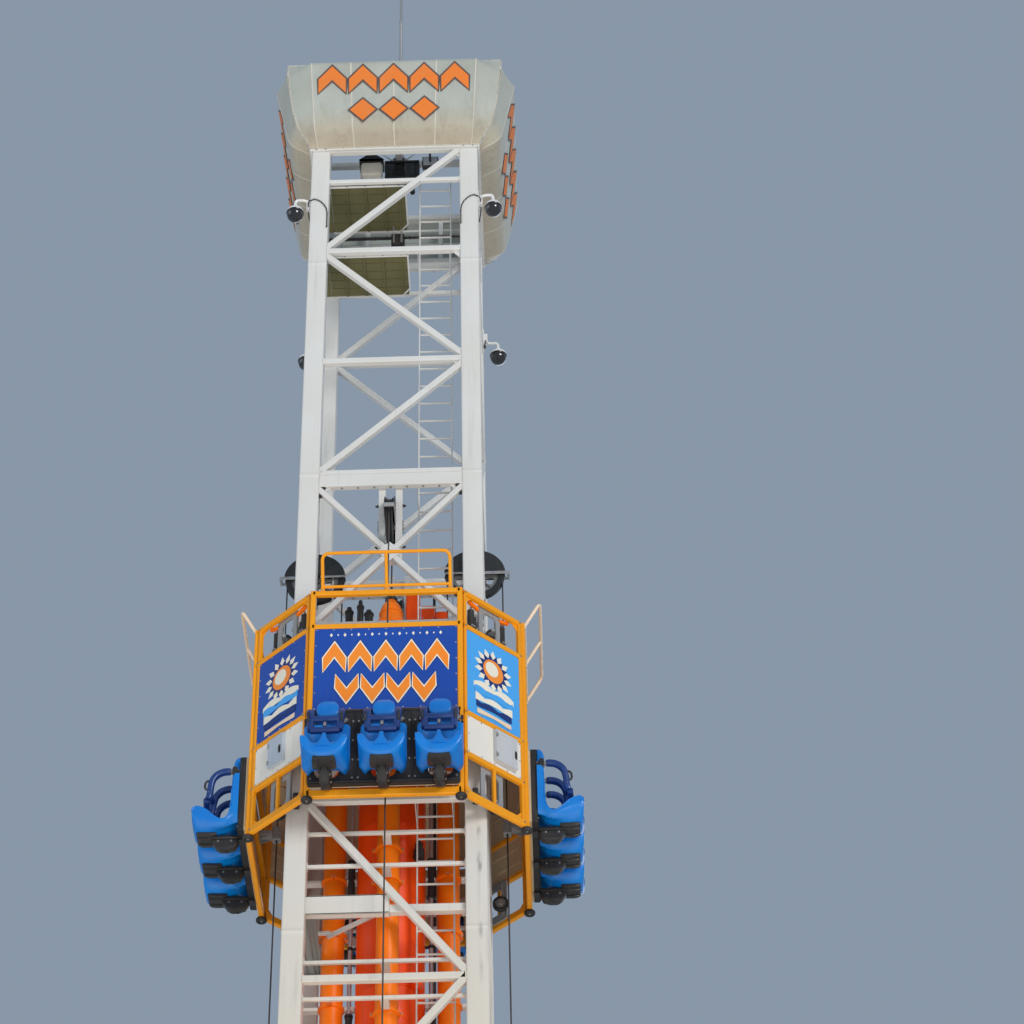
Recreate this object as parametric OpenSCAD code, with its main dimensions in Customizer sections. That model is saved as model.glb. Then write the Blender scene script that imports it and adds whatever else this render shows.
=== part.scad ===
// Drop tower ride: square lattice tower, ring-shaped gondola with three outward
// seats on each side, four air cylinders with cables over four sheaves, and a
// stretched-cover crown. Millimetres, +Z up, -Y is the front, ground at z = 0.

/* [Tower] */
// Outer width of the square tower
tower_w = 2140; // [2100:10:2180]
// Side of one square column tube
col_w = 235; // [225:1:245]
// Wall thickness of a column tube
col_t = 16; // [10:1:20]
// Top of the columns above the ground
tower_h = 30640; // [30600:10:30700]
// Side of the truss tubes
bar_w = 80; // [70:1:85]

/* [Gondola] */
// Height of the bottom rail in the rest pose
ring_z = 19000; // [18900:10:19100]
// Half width of the ring across its flat sides, to the tube centres
ring_b = 1490; // [1480:1:1500]
// Half length of a long side, to the post centres
ring_a = 813; // [805:1:820]
// Side of the ring's square tubes
rail_w = 60; // [56:1:64]
// Height of the thick bottom rail
bottom_rail_h = 90; // [80:1:100]
// Distance between neighbouring seats
seat_pitch = 600; // [590:1:605]

/* [Drive] */
// Distance from the tower axis to a sheave's axle
sheave_x = 945; // [944:1:946]
// Radius of the cable's centre line on a sheave
sheave_r = 325; // [324:1:326]
// Height of the upper sheaves' axles
sheave_z = 23100; // [23090:1:23110]
// Height of the lower sheaves' axles
low_sheave_z = 620; // [615:1:630]
// Radius of a drive cable
cable_r = 9; // [8:1:10]
// Outer radius of an air cylinder
shot_r = 122; // [118:1:124]

/* [Crown] */
// Distance from the tower axis to the top of a cover's flat face
sign_s = 1576; // [1570:1:1590]
// Height of the mast's tip
mast_z = 35000; // [34000:10:36000]

/* [Hidden] */
T = tower_w / 2;
cc = T - col_w / 2;              // column centre
ti = T - col_w;                  // clear half width between columns
hz = ring_z + 4775;              // splice beam centre
G = ring_z;
rh = rail_w / 2;
// rail centre heights above the bottom rail
z_low = 513;
z_mid = 1055;
z_up = 2226;
z_top = 2695;

// A box from one corner to the opposite one
module slab(x0, x1, y0, y1, z0, z1) { translate([x0, y0, z0]) cube([x1 - x0, y1 - y0, z1 - z0]); }

// Side k of four: 0 front, 1 right, 2 rear, 3 left
module side(k) { rotate([0, 0, 90 * k]) children(); }

// A flat truss bar in the XZ plane between two points, wide in Y from y0 to y1
module bar2(p, q, w, y0, y1) {
    d = q - p;
    n = [-d[1], d[0]] / norm(d) * w / 2;
    translate([0, y1, 0]) rotate([90, 0, 0]) linear_extrude(y1 - y0)
        polygon([p - n, q - n, q + n, p + n]);
}

// ---------- tower ----------
module base_frame() {
    color("gainsboro") union() {
        // perimeter beams: between the base plates, and over them to the columns
        for (k = [0:3]) side(k) {
            slab(-cc + 300, cc - 300, -cc - 80, -cc + 80, 0, 200);
            slab(-ti, ti, -cc - 80, -cc + 80, 40, 200);
        }
        // cross beams through the centre
        slab(-cc + 80, cc - 80, -90, 90, 0, 200);
        slab(-90, 90, -cc + 80, cc - 80, 0, 200);
        // pad under the air tank
        cylinder(r = 340, h = 200, $fn = 8);
    }
}
module base_plates() {
    color("gainsboro") for (sx = [-1, 1], sy = [-1, 1]) translate([sx * cc, sy * cc, 0]) difference() {
        translate([-300, -300, 0]) cube([600, 600, 40]);
        for (x = [-250, 250], y = [-250, 250]) translate([x, y, -1]) cylinder(r = 17, h = 42, $fn = 48);
    }
}
module column() {
    difference() {
        slab(-col_w / 2, col_w / 2, -col_w / 2, col_w / 2, 40, tower_h);
        slab(-col_w / 2 + col_t, col_w / 2 - col_t, -col_w / 2 + col_t, col_w / 2 - col_t, 60, tower_h - 20);
    }
}
module tower_columns() { color("whitesmoke") for (sx = [-1, 1], sy = [-1, 1]) translate([sx * cc, sy * cc, 0]) column(); }

// Truss heights above the gondola's bottom rail
ht = [10420, 8570, 6670];
// lower bays from the photographed strut down to the ground
nlow = 8;
zl0 = G - 1970;
lowp = (zl0 - 330) / nlow;
module truss(m) {
    y0 = -T; y1 = -T + bar_w; e = ti; o = 60;
    color("whitesmoke") scale([m, 1, 1]) intersection() {
        slab(-e, e, y0 - 5, y1 + 5, 100, tower_h);
        union() {
            for (z = ht) slab(-e, e, y0, y1, G + z - bar_w / 2, G + z + bar_w / 2);
            slab(-e, e, y0 + 10, y1 - 10, G + 9840 - 30, G + 9840 + 30);
            // zigzag above the splice beam
            zbar([-e, G + 8640], [e, G + 10390], bar_w, y0, y1);
            zbar([-e, G + 8490], [e, G + 6760], bar_w, y0, y1);
            zbar([e, G + 6580], [-e, G + 4890], bar_w, y0, y1);
            // splice beam
            slab(-e, e, y0, y1, hz - 125, hz + 125);
            // cross bracing under the splice beam
            zbar([-e, G + 4625], [e, G + 2650], 70, y0, y1);
            zbar([e, G + 4625], [-e, G + 2650], 70, y0, y1);
            slab(-e, e, y0, y1, G + 2560, G + 2640);
            // bay behind the gondola
            zbar([e, G + 2570], [-e, G + 280], bar_w, y0, y1);
            slab(-e, e, y0, y1, G + 193, G + 273);
            // lower bays, zigzag
            zbar([-e, G + 190], [e, zl0 + 50], bar_w, y0, y1);
            slab(-e, e, y0, y1, zl0 - 40, zl0 + 40);
            for (i = [0:nlow - 1]) {
                s = (i % 2 == 0) ? 1 : -1;
                za = zl0 - i * lowp; zb = za - lowp;
                zbar([s * e, za - 10], [-s * e, zb + 40], bar_w, y0, y1);
                if (i < nlow - 1) slab(-e, e, y0, y1, zb - 30, zb + 50);
            }
        }
    }
}
// a diagonal that runs on past both ends, to be cut at the columns
module zbar(p, q, w, y0, y1) { d = (q - p) / norm(q - p) * 120; bar2(p - d, q + d, w, y0, y1); }
module front_truss() { truss(1); }
module right_truss() { side(1) truss(1); }
module rear_truss() { side(2) truss(-1); }
module left_truss() { side(3) truss(1); }

// ---------- ladder behind the front face ----------
lad_x0 = 301; lad_x1 = 698; lad_y = -450;
module ladder() {
    color("whitesmoke") union() {
        for (x = [lad_x0, lad_x1]) slab(x - 8, x + 8, lad_y - 30, lad_y + 30, 480, G + 10400);
        for (i = [0:99]) translate([lad_x0, lad_y, 544 + i * 290]) rotate([0, 90, 0]) cylinder(r = 12, h = lad_x1 - lad_x0, $fn = 6);
        // stand-off brackets to the front truss
        for (z = [zl0 - 7 * lowp, zl0 - 5 * lowp, zl0 - 3 * lowp, zl0 - lowp, G + 233, hz, G + 8570]) for (x = [lad_x0, lad_x1])
            slab(x - 20, x + 20, -T + bar_w, lad_y - 20, z - 20, z + 20);
    }
}

// ---------- compressed-air plant ----------
tank_r = 370;
tank_z0 = 900; tank_z1 = G + 2500;
module air_tank_shell() {
    color("orangered") translate([0, 0, tank_z0]) difference() {
        cylinder(r = tank_r, h = tank_z1 - tank_z0, $fn = 64);
        translate([0, 0, -1]) cylinder(r = tank_r - 12, h = tank_z1 - tank_z0 + 2, $fn = 64);
    }
}
module air_tank_heads() {
    color("orangered") union() {
        translate([0, 0, tank_z1]) rotate_extrude($fn = 64) polygon([[0, 0], [tank_r, 0], [tank_r, 40], [340, 110], [270, 170], [170, 205], [90, 218], [90, 300], [0, 300]]);
    }
    color("orangered") union() {
        rotate_extrude($fn = 64) polygon([[0, 640], [150, 650], [270, 700], [340, 780], [tank_r, 860], [tank_r, tank_z0], [0, tank_z0]]);
        // skirt standing on the base frame
        difference() {
            translate([0, 0, 200]) cylinder(r = 300, h = 560, $fn = 64);
            translate([0, 0, 199]) cylinder(r = 285, h = 440, $fn = 64);
        }
    }
}
cx = sheave_x - sheave_r;        // axis of an air cylinder
shot_z0 = 1150; shot_z1 = G + 2860;
module shot_cylinders() {
    color("orange") for (k = [0:3]) side(k) translate([0, -cx, shot_z0]) difference() {
        cylinder(r = shot_r, h = shot_z1 - shot_z0, $fn = 48);
        translate([0, 0, -1]) cylinder(r = shot_r - 10, h = shot_z1 - shot_z0 + 2, $fn = 48);
    }
}
module cylinder_heads() {
    color("orange") for (k = [0:3]) side(k) {
        // top: wide flange, domed neck, cable gland with a through bore
        translate([0, -cx, shot_z1]) rotate_extrude($fn = 48) polygon([[20, 0], [175, 0], [175, 60], [135, 60], [130, 190], [120, 270], [92, 340], [60, 372], [60, 470], [20, 470]]);
        // bottom: flange and tapered neck over the lower sheave
        translate([0, -cx, shot_z0]) rotate_extrude($fn = 48) polygon([[20, 0], [160, 0], [160, -40], [110, -50], [60, -110], [60, -150], [20, -150]]);
    }
}
// bars that hold the air cylinders to the truss, in pairs, with a band round each
module cylinder_brackets() {
    color("whitesmoke") for (j = [0:4]) {
        zz = (j == 0) ? G - 350 : (j == 1) ? G - 1940 : G - 1940 - (j - 1) * 2 * lowp;
        dz = (j == 0) ? 205 : 215;
        for (k = [0:3], s = [-1, 1]) side(k) difference() {
            union() {
                slab(-ti, ti, -T + bar_w + 12, -T + bar_w + 52, zz + s * dz - 20, zz + s * dz + 20);
                slab(-45, 45, -T + bar_w + 52, -tank_r - 1, zz + s * dz - 20, zz + s * dz + 20);
                translate([0, -cx, zz + s * dz - 20]) cylinder(r = shot_r + 18, h = 40, $fn = 48);
            }
            translate([0, -cx, zz + s * dz - 30]) cylinder(r = shot_r + 0.4, h = 60, $fn = 48);
        }
    }
}
module drive_cable() {
    rr = sheave_r;
    union() {
        for (s = [-1, 1]) translate([0, -sheave_x + s * rr, low_sheave_z]) cylinder(r = cable_r, h = sheave_z - low_sheave_z, $fn = 24);
        translate([0, -sheave_x, sheave_z]) rotate([90, 0, 90]) rotate_extrude(angle = 180, $fn = 48) translate([rr, 0]) circle(r = cable_r, $fn = 24);
        translate([0, -sheave_x, low_sheave_z]) rotate([-90, 0, -90]) rotate_extrude(angle = 180, $fn = 48) translate([rr, 0]) circle(r = cable_r, $fn = 24);
    }
}
module drive_cables() { color("dimgray") for (k = [0:3]) side(k) drive_cable(); }

// ---------- sheaves ----------
sh_o = sheave_r + 20;            // rim radius
module sheave(wheel_z, ax) {
    translate([0, -sheave_x, wheel_z]) rotate([0, 90, 0]) {
        rotate_extrude($fn = 64) polygon([[0, -38], [75, -38], [75, -14], [255, -14], [275, -38], [sh_o, -38], [sh_o, -26],
            [sheave_r - cable_r - 2, -12], [sheave_r - cable_r - 2, 12], [sh_o, 26], [sh_o, 38], [275, 38], [255, 14], [75, 14], [75, 38], [0, 38]]);
        translate([0, 0, -ax]) cylinder(r = 30, h = 2 * ax, $fn = 48);
    }
}
module front_sheave() { color([0.2, 0.21, 0.22]) sheave(sheave_z, 150); }
module right_sheave() { color([0.2, 0.21, 0.22]) side(1) sheave(sheave_z, 150); }
module rear_sheave() { color([0.2, 0.21, 0.22]) side(2) sheave(sheave_z, 150); }
module left_sheave() { color([0.2, 0.21, 0.22]) side(3) sheave(sheave_z, 150); }
module lower_sheaves() { color([0.2, 0.21, 0.22]) for (k = [0:3]) side(k) sheave(low_sheave_z, 60); }
sp0 = 60; sp1 = 138;
module sheave_posts() {
    color("whitesmoke") for (k = [0:3]) side(k) {
        // tie between the two hangers, against the crossing of the braces
        slab(-sp0, sp0, -T + bar_w, -T + bar_w + 80, G + 3560, G + 3640);
        for (s = [-1, 1]) {
            // hangers of the upper sheave, bolted behind the splice beam
            difference() {
                slab(min(s * sp0, s * sp1), max(s * sp0, s * sp1), -T + bar_w, -T + bar_w + 80, G + 3560, hz + 110);
                translate([0, -sheave_x, sheave_z]) rotate([0, 90, 0]) cylinder(r = 30.06, h = 400, center = true, $fn = 48);
            }
            // stands of the lower sheave on the base frame
            slab(min(s * sp0, s * sp1), max(s * sp0, s * sp1), -sheave_x - 45, -sheave_x + 55, 200, low_sheave_z + 90);
        }
    }
}
// half covers over the upper part of each sheave, open below
module sheave_guards() {
    color([0.17, 0.18, 0.19]) for (k = [0:3]) side(k) for (s = [-1, 1]) translate([s * 54, -sheave_x, sheave_z]) rotate([90, 0, 90]) linear_extrude(12, center = true)
        difference() {
            intersection() { circle(r = sh_o + 12, $fn = 64); translate([-400, 30]) square([800, 400]); }
            circle(r = 62, $fn = 48);
        }
}

// ---------- platforms ----------
module mid_platform() {
    color("gainsboro") union() {
        slab(-ti, 40, -T + bar_w, -T + bar_w + 90, G - 1160, G - 930);
        slab(40, ti, -T + bar_w, -T + bar_w + 90, G - 1150, G - 1060);
        slab(-ti, -340, -T + bar_w + 90, -790, G - 1100, G - 1070);
        slab(-ti, -745, -790, 300, G - 1100, G - 1070);
        slab(-T + bar_w, -ti, -ti, 300, G - 1100, G - 1070);
    }
}
module upper_decks() {
    color([0.55, 0.52, 0.42]) {
        union() {
            slab(-ti, 150, -T + bar_w, -170, G + 9810, G + 9840);
            slab(-T + bar_w, -ti, -ti, -170, G + 9810, G + 9840);
        }
        union() {
            slab(-ti, 190, -T + bar_w, -270, G + 8535, G + 8565);
            slab(-T + bar_w, -ti, -ti, -270, G + 8535, G + 8565);
        }
    }
}

// ---------- crown ----------
cr0 = 1400;                      // back plane of the covers at the top
cr1 = 1100;                      // back edge of the covers at the bottom
module crown_frame() {
    color("gainsboro") union() {
        // wide upper ring, tied to the columns
        for (k = [0:3]) side(k) {
            slab(-cr0, cr0, -cr0, -cr0 + 60, G + 11530, G + 11590);
            for (s = [-1, 1]) slab(s * cc - 40, s * cc + 40, -cr0 + 50, -T, G + 11530, G + 11590);
        }
        // narrow lower ring on the columns' faces
        for (k = [0:3]) side(k) slab(-cr1, cr1, -cr1, -T, G + 10390, G + 10450);
        // sloping struts between the two rings
        for (k = [0:3]) side(k) for (x = [-530, 470]) translate([x, 0, 0]) rotate([90, 0, 90]) linear_extrude(60)
            polygon([[-cr1 + 2, G + 10400], [-cr1 + 2, G + 10440], [-cr0 + 20, G + 11540], [-cr0 + 59, G + 11580], [-cr1 + 29, G + 10400]]);
        for (k = [0:3]) rotate([0, 0, 45 + 90 * k]) translate([-15, 0, 0]) rotate([90, 0, 90]) linear_extrude(30)
            polygon([[-1538, G + 10400], [-1538, G + 10430], [-1882, G + 11470], [-1925, G + 11540], [-1925, G + 11580], [-1870, G + 11580], [-1516, G + 10440], [-1516, G + 10400]]);
    }
    // roof frame between the columns, with the cross that carries the mast
    color("gainsboro") union() {
        for (k = [0:3]) side(k) slab(-ti, ti, -T + 20, -T + 100, G + 11220, G + 11298);
        slab(-40, 40, -T + 60, T - 60, G + 11220, G + 11298);
        slab(-T + 60, T - 60, -40, 40, G + 11220, G + 11298);
    }
}
// stretched cover that leans out at the top and rolls under to the columns,
// with its ends sloped back to the next cover; hollow and open behind
module cover_form(d, b) {
    hull() {
        slab(-cr0 + 8 + d, cr0 - 8 - d, -cr0 - 6 + d / 2, -cr0 + b, G + 11500, G + 11700 - d);
        slab(-1080 + d / 3, 1080 - d / 3, -sign_s + d, -sign_s + 6 + d, G + 11470, G + 11570 - d / 2);
        slab(-1030 + d / 3, 1030 - d / 3, -sign_s + 206 + d, -sign_s + 212 + d, G + 10560 + d / 3, G + 10570 + d / 3);
        slab(-1322 + d, 1322 - d, -1330 + d / 2, -1324 + b, G + 10950, G + 10956);
        slab(-1247 + d, 1247 - d, -1255 + d / 2, -1249 + b, G + 10660 + d / 2, G + 10666 + d / 2);
        slab(-cr1 + 10 + d, cr1 - 10 - d, -cr1 - 6 + d / 2, -cr1 + b, G + 10420 + d, G + 10426 + d);
    }
}
module cover() {
    difference() {
        cover_form(0, 0);
        cover_form(24, 60);
        slab(-cr0 - 20, cr0 + 20, -cr0, -cr0 + 200, G + 11480, G + 11720);
    }
}
module crown_covers() { color("ivory") for (k = [0:3]) side(k) cover(); }
module mast() {
    color("silver") union() {
        translate([0, 0, G + 11298]) cylinder(r = 110, h = 30, $fn = 32);
        translate([0, 0, G + 11328]) cylinder(r = 38, h = 400, $fn = 32);
        translate([0, 0, G + 11728]) cylinder(r = 24, h = mast_z - G - 11728, $fn = 32);
    }
}
// cameras on the four columns, the front pair higher
function cam(sy) = G + ((sy < 0) ? 9280 : 8660);
module camera_brackets() {
    color("whitesmoke") for (sx = [-1, 1], sy = [-1, 1]) translate([0, 0, cam(sy)]) scale([sx, sy, 1]) union() {
        slab(T, T + 12, cc - 60, cc + 60, 60, 360);
        slab(T + 12, T + 60, cc - 40, cc + 40, 150, 300);
        slab(T + 60, T + 210, cc + 90 - 20, cc + 90 + 20, 210, 250);
        slab(T + 20, T + 60, cc + 40, cc + 110, 210, 250);
        translate([T + 190, cc + 90, 80]) cylinder(r = 24, h = 150, $fn = 32);
    }
}
module camera_domes() {
    color("black") for (sx = [-1, 1], sy = [-1, 1]) scale([sx, sy, 1]) translate([T + 190, cc + 90, cam(sy)]) rotate_extrude($fn = 48)
        polygon([[0, -125], [40, -120], [75, -100], [98, -65], [104, -25], [104, 0], [112, 0], [112, 30], [96, 66], [50, 80], [0, 80]]);
}
module top_hoist() {
    color([0.15, 0.15, 0.16]) union() {
        slab(-190, 270, -120, 60, G + 10900, G + 11220);
        slab(-120, -40, -60, 40, G + 10600, G + 10910);
        slab(150, 200, -60, 20, G + 10700, G + 10910);
    }
}
module floodlight() {
    color([0.12, 0.12, 0.13]) union() {
        slab(330, 550, -620, -500, G + 10560, G + 10760);
        slab(425, 455, -T + bar_w, -610, G + 10640, G + 10680);
        slab(425, 455, -T + bar_w, -T + bar_w + 40, G + 10430, G + 10680);
    }
}

// ---------- gondola ring ----------
pe = rail_w / 2;
module side_frame() {
    union() {
        for (s = [-1, 1]) slab(s * ring_a - pe, s * ring_a + pe, -ring_b - pe, -ring_b + pe, G - bottom_rail_h / 2, G + z_top + pe);
        slab(-ring_a, ring_a, -ring_b - pe, -ring_b + pe, G - bottom_rail_h / 2, G + bottom_rail_h / 2);
        for (z = [z_low, z_mid, z_up, z_top]) slab(-ring_a, ring_a, -ring_b - pe, -ring_b + pe, G + z - pe, G + z + pe);
    }
}
module ring_side_frames() { color("goldenrod") for (k = [0:3]) side(k) side_frame(); }
// the diagonal between two long sides, drawn along X at distance dg from the axis
dg = (ring_a + ring_b) / sqrt(2);
dl = (ring_b - ring_a) / sqrt(2);   // half length between post centres
module diag(k) { rotate([0, 0, 45 + 90 * k]) children(); }
de = dl - pe * 1.4143 - 0.4;        // ends on the posts' corners
module corner_frame() {
    union() {
        slab(-de, de, -dg - pe, -dg + pe, G - bottom_rail_h / 2, G + bottom_rail_h / 2);
        for (z = [z_low, z_mid, z_up, z_top]) slab(-de, de, -dg - pe, -dg + pe, G + z - pe, G + z + pe);
        // stiles beside the posts and a baluster in each open gap
        for (x = [-de, de - 40]) slab(x, x + 40, -dg - pe + 5, -dg + pe - 5, G, G + z_top);
        slab(-20, 20, -dg - 20, -dg + 20, G, G + z_low);
    }
}
module ring_corner_frames() { color("goldenrod") for (k = [0:3]) diag(k) corner_frame(); }
module long_blue_panels() { color([0.09, 0.27, 0.62]) for (k = [0:3]) side(k) slab(-ring_a + pe, ring_a - pe, -ring_b - 16, -ring_b - 4, G + z_mid + pe, G + z_up - pe); }
module corner_blue_panels() { color([0.09, 0.27, 0.62]) for (k = [0:3]) diag(k) slab(-de + 40.4, de - 40.4, -dg - 16, -dg - 4, G + z_mid + pe + 0.4, G + z_up - pe - 0.4); }
module corner_white_panels() { color([0.9, 0.88, 0.83]) for (k = [0:3]) diag(k) slab(-de + 40.4, de - 40.4, -dg - 16, -dg - 4, G + z_low + pe + 0.4, G + z_mid - pe - 0.4); }
module access_boxes() {
    color([0.62, 0.66, 0.72]) {
        diag(0) slab(-20, 300, -dg - 76, -dg - 16, G + 590, G + 990);
        diag(3) slab(-130, 110, -dg - 70, -dg - 16, G + 620, G + 980);
        diag(1) slab(-130, 110, -dg - 70, -dg - 16, G + 620, G + 980);
        diag(2) slab(-20, 300, -dg - 76, -dg - 16, G + 590, G + 990);
    }
}
bd0 = ring_b + pe;               // back face of a seat board
bd1 = bd0 + 90;                  // its front face
module seat_boards() { color([0.08, 0.08, 0.09]) for (k = [0:3]) side(k) slab(-ring_a + 5, ring_a - 5, -bd1, -bd0, G + 50, G + 1010); }
module handrail_hoops() {
    lean = atan2(235, 430);
    color("goldenrod") for (k = [0:3]) side(k) translate([0, -ring_b, G + z_top + pe]) rotate([lean, 0, 0]) difference() {
        union() {
            for (x = [-710, 0, 710]) translate([x, 0, -10]) cylinder(r = 20, h = (abs(x) < 1 ? 450 : 400), $fn = 12);
            translate([-660, 0, 440]) rotate([0, 90, 0]) cylinder(r = 20, h = 1320, $fn = 12);
            translate([-710, 0, 60]) rotate([0, 90, 0]) cylinder(r = 20, h = 1420, $fn = 12);
            for (s = [-1, 1]) bar2([s * 710, 388], [s * 658, 440], 40, -18, 18);
        }
        // feet cut level with the top rail
        rotate([-lean, 0, 0]) translate([-900, -200, -200]) cube([1800, 400, 200]);
    }
}
gw_r = 90; gw_c = T + 7 + gw_r;
gw_z = [150, 2460];
module guide_wheels() {
    color([0.1, 0.1, 0.11]) for (k = [0:3], m = [0, 1], z = gw_z) side(k) mirror([m, 0, 0]) translate([gw_c, -cc, G + z]) rotate([90, 0, 0]) difference() {
        cylinder(r = gw_r, h = 60, center = true, $fn = 48);
        cylinder(r = 22.2, h = 62, center = true, $fn = 32);
    }
}
module guide_brackets() {
    color([0.5, 0.52, 0.54]) for (k = [0:3], z = gw_z) union() {
        zb = (z < 1000) ? bottom_rail_h / 2 : z_up + pe;
        zt = (z < 1000) ? z_low - pe : z_top - pe;
        diag(k) slab(-160, 160, -dg + pe, -dg + pe + 20, G + zb - 40, G + zt + 40);
        for (m = [0, 1]) rotate([0, 0, 90 * k + 90 * m]) mirror([m, 0, 0]) translate([gw_c, 0, G + z]) rotate([90, 0, 0])
            translate([0, 0, cc - 30]) cylinder(r = 22, h = sqrt(2) * (dg - 45) - gw_c - cc + 30, $fn = 32);
    }
}
module ring_bumpers() {
    color([0.07, 0.07, 0.07]) for (k = [0:3], s = [-1, 1]) side(k) translate([s * ring_a, -ring_b, G - bottom_rail_h / 2]) translate([0, 0, -46]) rotate_extrude($fn = 48)
        polygon([[22, 8], [50, 0], [62, 14], [62, 34], [50, 46], [22, 46]]);
}
module cable_clamps() {
    color([0.35, 0.36, 0.38]) for (k = [0:3]) side(k) difference() {
        union() {
            slab(-50, 50, -sheave_x - sheave_r - 45, -sheave_x - sheave_r + 45, G + 433, G + 593);
            slab(-60, 60, -ring_b + pe, -sheave_x - sheave_r - 40, G + z_low - 30, G + z_low + 30);
        }
        translate([0, -sheave_x - sheave_r, G + 400]) cylinder(r = cable_r + 7, h = 260, $fn = 32);
    }
}

// ---------- seats, drawn for the front side at x = 0 ----------
py = -(bd1 + 55);                // restraint pivot
pz = G + 825;
// side profile in (forward, up) from the board's face, extruded across
module prof(pts, x0, x1) { translate([x0, -bd1, G]) rotate([90, 0, 90]) linear_extrude(x1 - x0) polygon([for (p = pts) [-p[0], p[1]]]); }
module seat() {
    union() {
        // pan and back
        prof([[0, 95], [60, 80], [330, 62], [470, 90], [490, 180], [468, 258], [380, 240], [200, 165], [130, 160], [84, 215], [62, 320], [60, 560], [64, 770], [0, 770]], -185, 185);
        // side bolsters
        for (s = [-1, 1]) prof([[0, 95], [60, 80], [330, 62], [478, 90], [500, 240], [480, 345], [430, 352], [340, 305], [260, 225], [200, 182], [150, 182], [105, 225], [82, 320], [80, 560], [74, 740], [50, 770], [0, 770]], s > 0 ? 185 : -245, s > 0 ? 245 : -185);
        // horn between the legs
        prof([[360, 225], [385, 350], [415, 392], [452, 390], [484, 350], [498, 290], [490, 190], [470, 180], [380, 200]], -38, 38);
        // headrest
        prof([[0, 770], [14, 770], [14, 880], [80, 880], [86, 930], [80, 1000], [60, 1060], [30, 1105], [8, 1120], [0, 1120]], -120, 120);
        // ears and shaft that carry the restraint
        for (s = [-1, 1]) slab(s > 0 ? 222 : -242, s > 0 ? 242 : -222, py - 28, -bd1, G + 700, pz + 30);
        translate([-230, py, pz]) rotate([0, 90, 0]) cylinder(r = 18, h = 460, $fn = 48);
    }
}
module seat_row(k) { color([0.07, 0.38, 0.72]) side(k) for (i = [-1:1]) translate([i * seat_pitch, 0, 0]) seat(); }
module front_seats() { seat_row(0); }
module right_seats() { seat_row(1); }
module rear_seats() { seat_row(2); }
module left_seats() { seat_row(3); }
module seat_pedestals() {
    color([0.08, 0.08, 0.09]) for (k = [0:3]) side(k) for (i = [-1:1]) translate([i * seat_pitch, 0, 0])
        prof([[0, 95], [0, 50], [20, -60], [150, -95], [250, -80], [330, 62], [60, 80]], -70, 70);
}

// ---------- over-shoulder restraints ----------
// centre line of one arm, forward and up from the pivot
arm = [[0, 0], [50, 10], [105, 12], [160, -4], [205, -36], [240, -85], [258, -150], [265, -220], [272, -290], [290, -345]];
function nrm(v) = v / norm(v);
function tang(p, i) = nrm((i == 0 ? p[1] - p[0] : i == len(p) - 1 ? p[i] - p[i - 1] : nrm(p[i + 1] - p[i]) + nrm(p[i] - p[i - 1])));
function off(p, i, w) = let (t = tang(p, i)) p[i] + w * [-t[1], t[0]];
function band(p, w) = concat([for (i = [0:len(p) - 1]) off(p, i, w)], [for (i = [len(p) - 1:-1:0]) off(p, i, -w)]);
module rprof(pts, x0, x1) { translate([x0, py, pz]) rotate([90, 0, 90]) linear_extrude(x1 - x0) polygon([for (p = pts) [-p[0], p[1]]]); }
module restraint() {
    difference() {
        union() {
            for (s = [-1, 1]) {
                rprof(band(arm, 36), s > 0 ? 128 : -203, s > 0 ? 203 : -128);
                translate([s > 0 ? 128 : -203, py, pz]) rotate([0, 90, 0]) cylinder(r = 38, h = 75, $fn = 48);
            }
            // chest pad and lap bar that join the arms
            rprof([[232, -150], [300, -150], [310, -218], [238, -218]], -130, 130);
            rprof([[262, -318], [330, -318], [345, -375], [272, -385]], -130, 130);
        }
        translate([-300, py, pz]) rotate([0, 90, 0]) cylinder(r = 18.06, h = 600, $fn = 48);
    }
}
module rs(k, i) { color([0.05, 0.14, 0.34]) side(k) translate([i * seat_pitch, 0, 0]) restraint(); }
module restraint_front_1() { rs(0, -1); }
module restraint_front_2() { rs(0, 0); }
module restraint_front_3() { rs(0, 1); }
module restraint_right_1() { rs(1, -1); }
module restraint_right_2() { rs(1, 0); }
module restraint_right_3() { rs(1, 1); }
module restraint_rear_1() { rs(2, -1); }
module restraint_rear_2() { rs(2, 0); }
module restraint_rear_3() { rs(2, 1); }
module restraint_left_1() { rs(3, -1); }
module restraint_left_2() { rs(3, 0); }
module restraint_left_3() { rs(3, 1); }

base_frame();
base_plates();
tower_columns();
front_truss();
right_truss();
rear_truss();
left_truss();
ladder();
air_tank_shell();
air_tank_heads();
shot_cylinders();
cylinder_heads();
cylinder_brackets();
drive_cables();
sheave_posts();
sheave_guards();
lower_sheaves();
mid_platform();
upper_decks();
crown_frame();
crown_covers();
mast();
camera_brackets();
camera_domes();
top_hoist();
floodlight();
ring_side_frames();
ring_corner_frames();
long_blue_panels();
corner_blue_panels();
corner_white_panels();
access_boxes();
seat_boards();
front_seats();
right_seats();
rear_seats();
left_seats();
seat_pedestals();
handrail_hoops();
guide_wheels();
guide_brackets();
ring_bumpers();
cable_clamps();
front_sheave();
right_sheave();
rear_sheave();
left_sheave();
restraint_front_1();
restraint_front_2();
restraint_front_3();
restraint_right_1();
restraint_right_2();
restraint_right_3();
restraint_rear_1();
restraint_rear_2();
restraint_rear_3();
restraint_left_1();
restraint_left_2();
restraint_left_3();
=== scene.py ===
import math
import random

import bmesh
import bpy
from mathutils import Matrix, Vector


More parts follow.
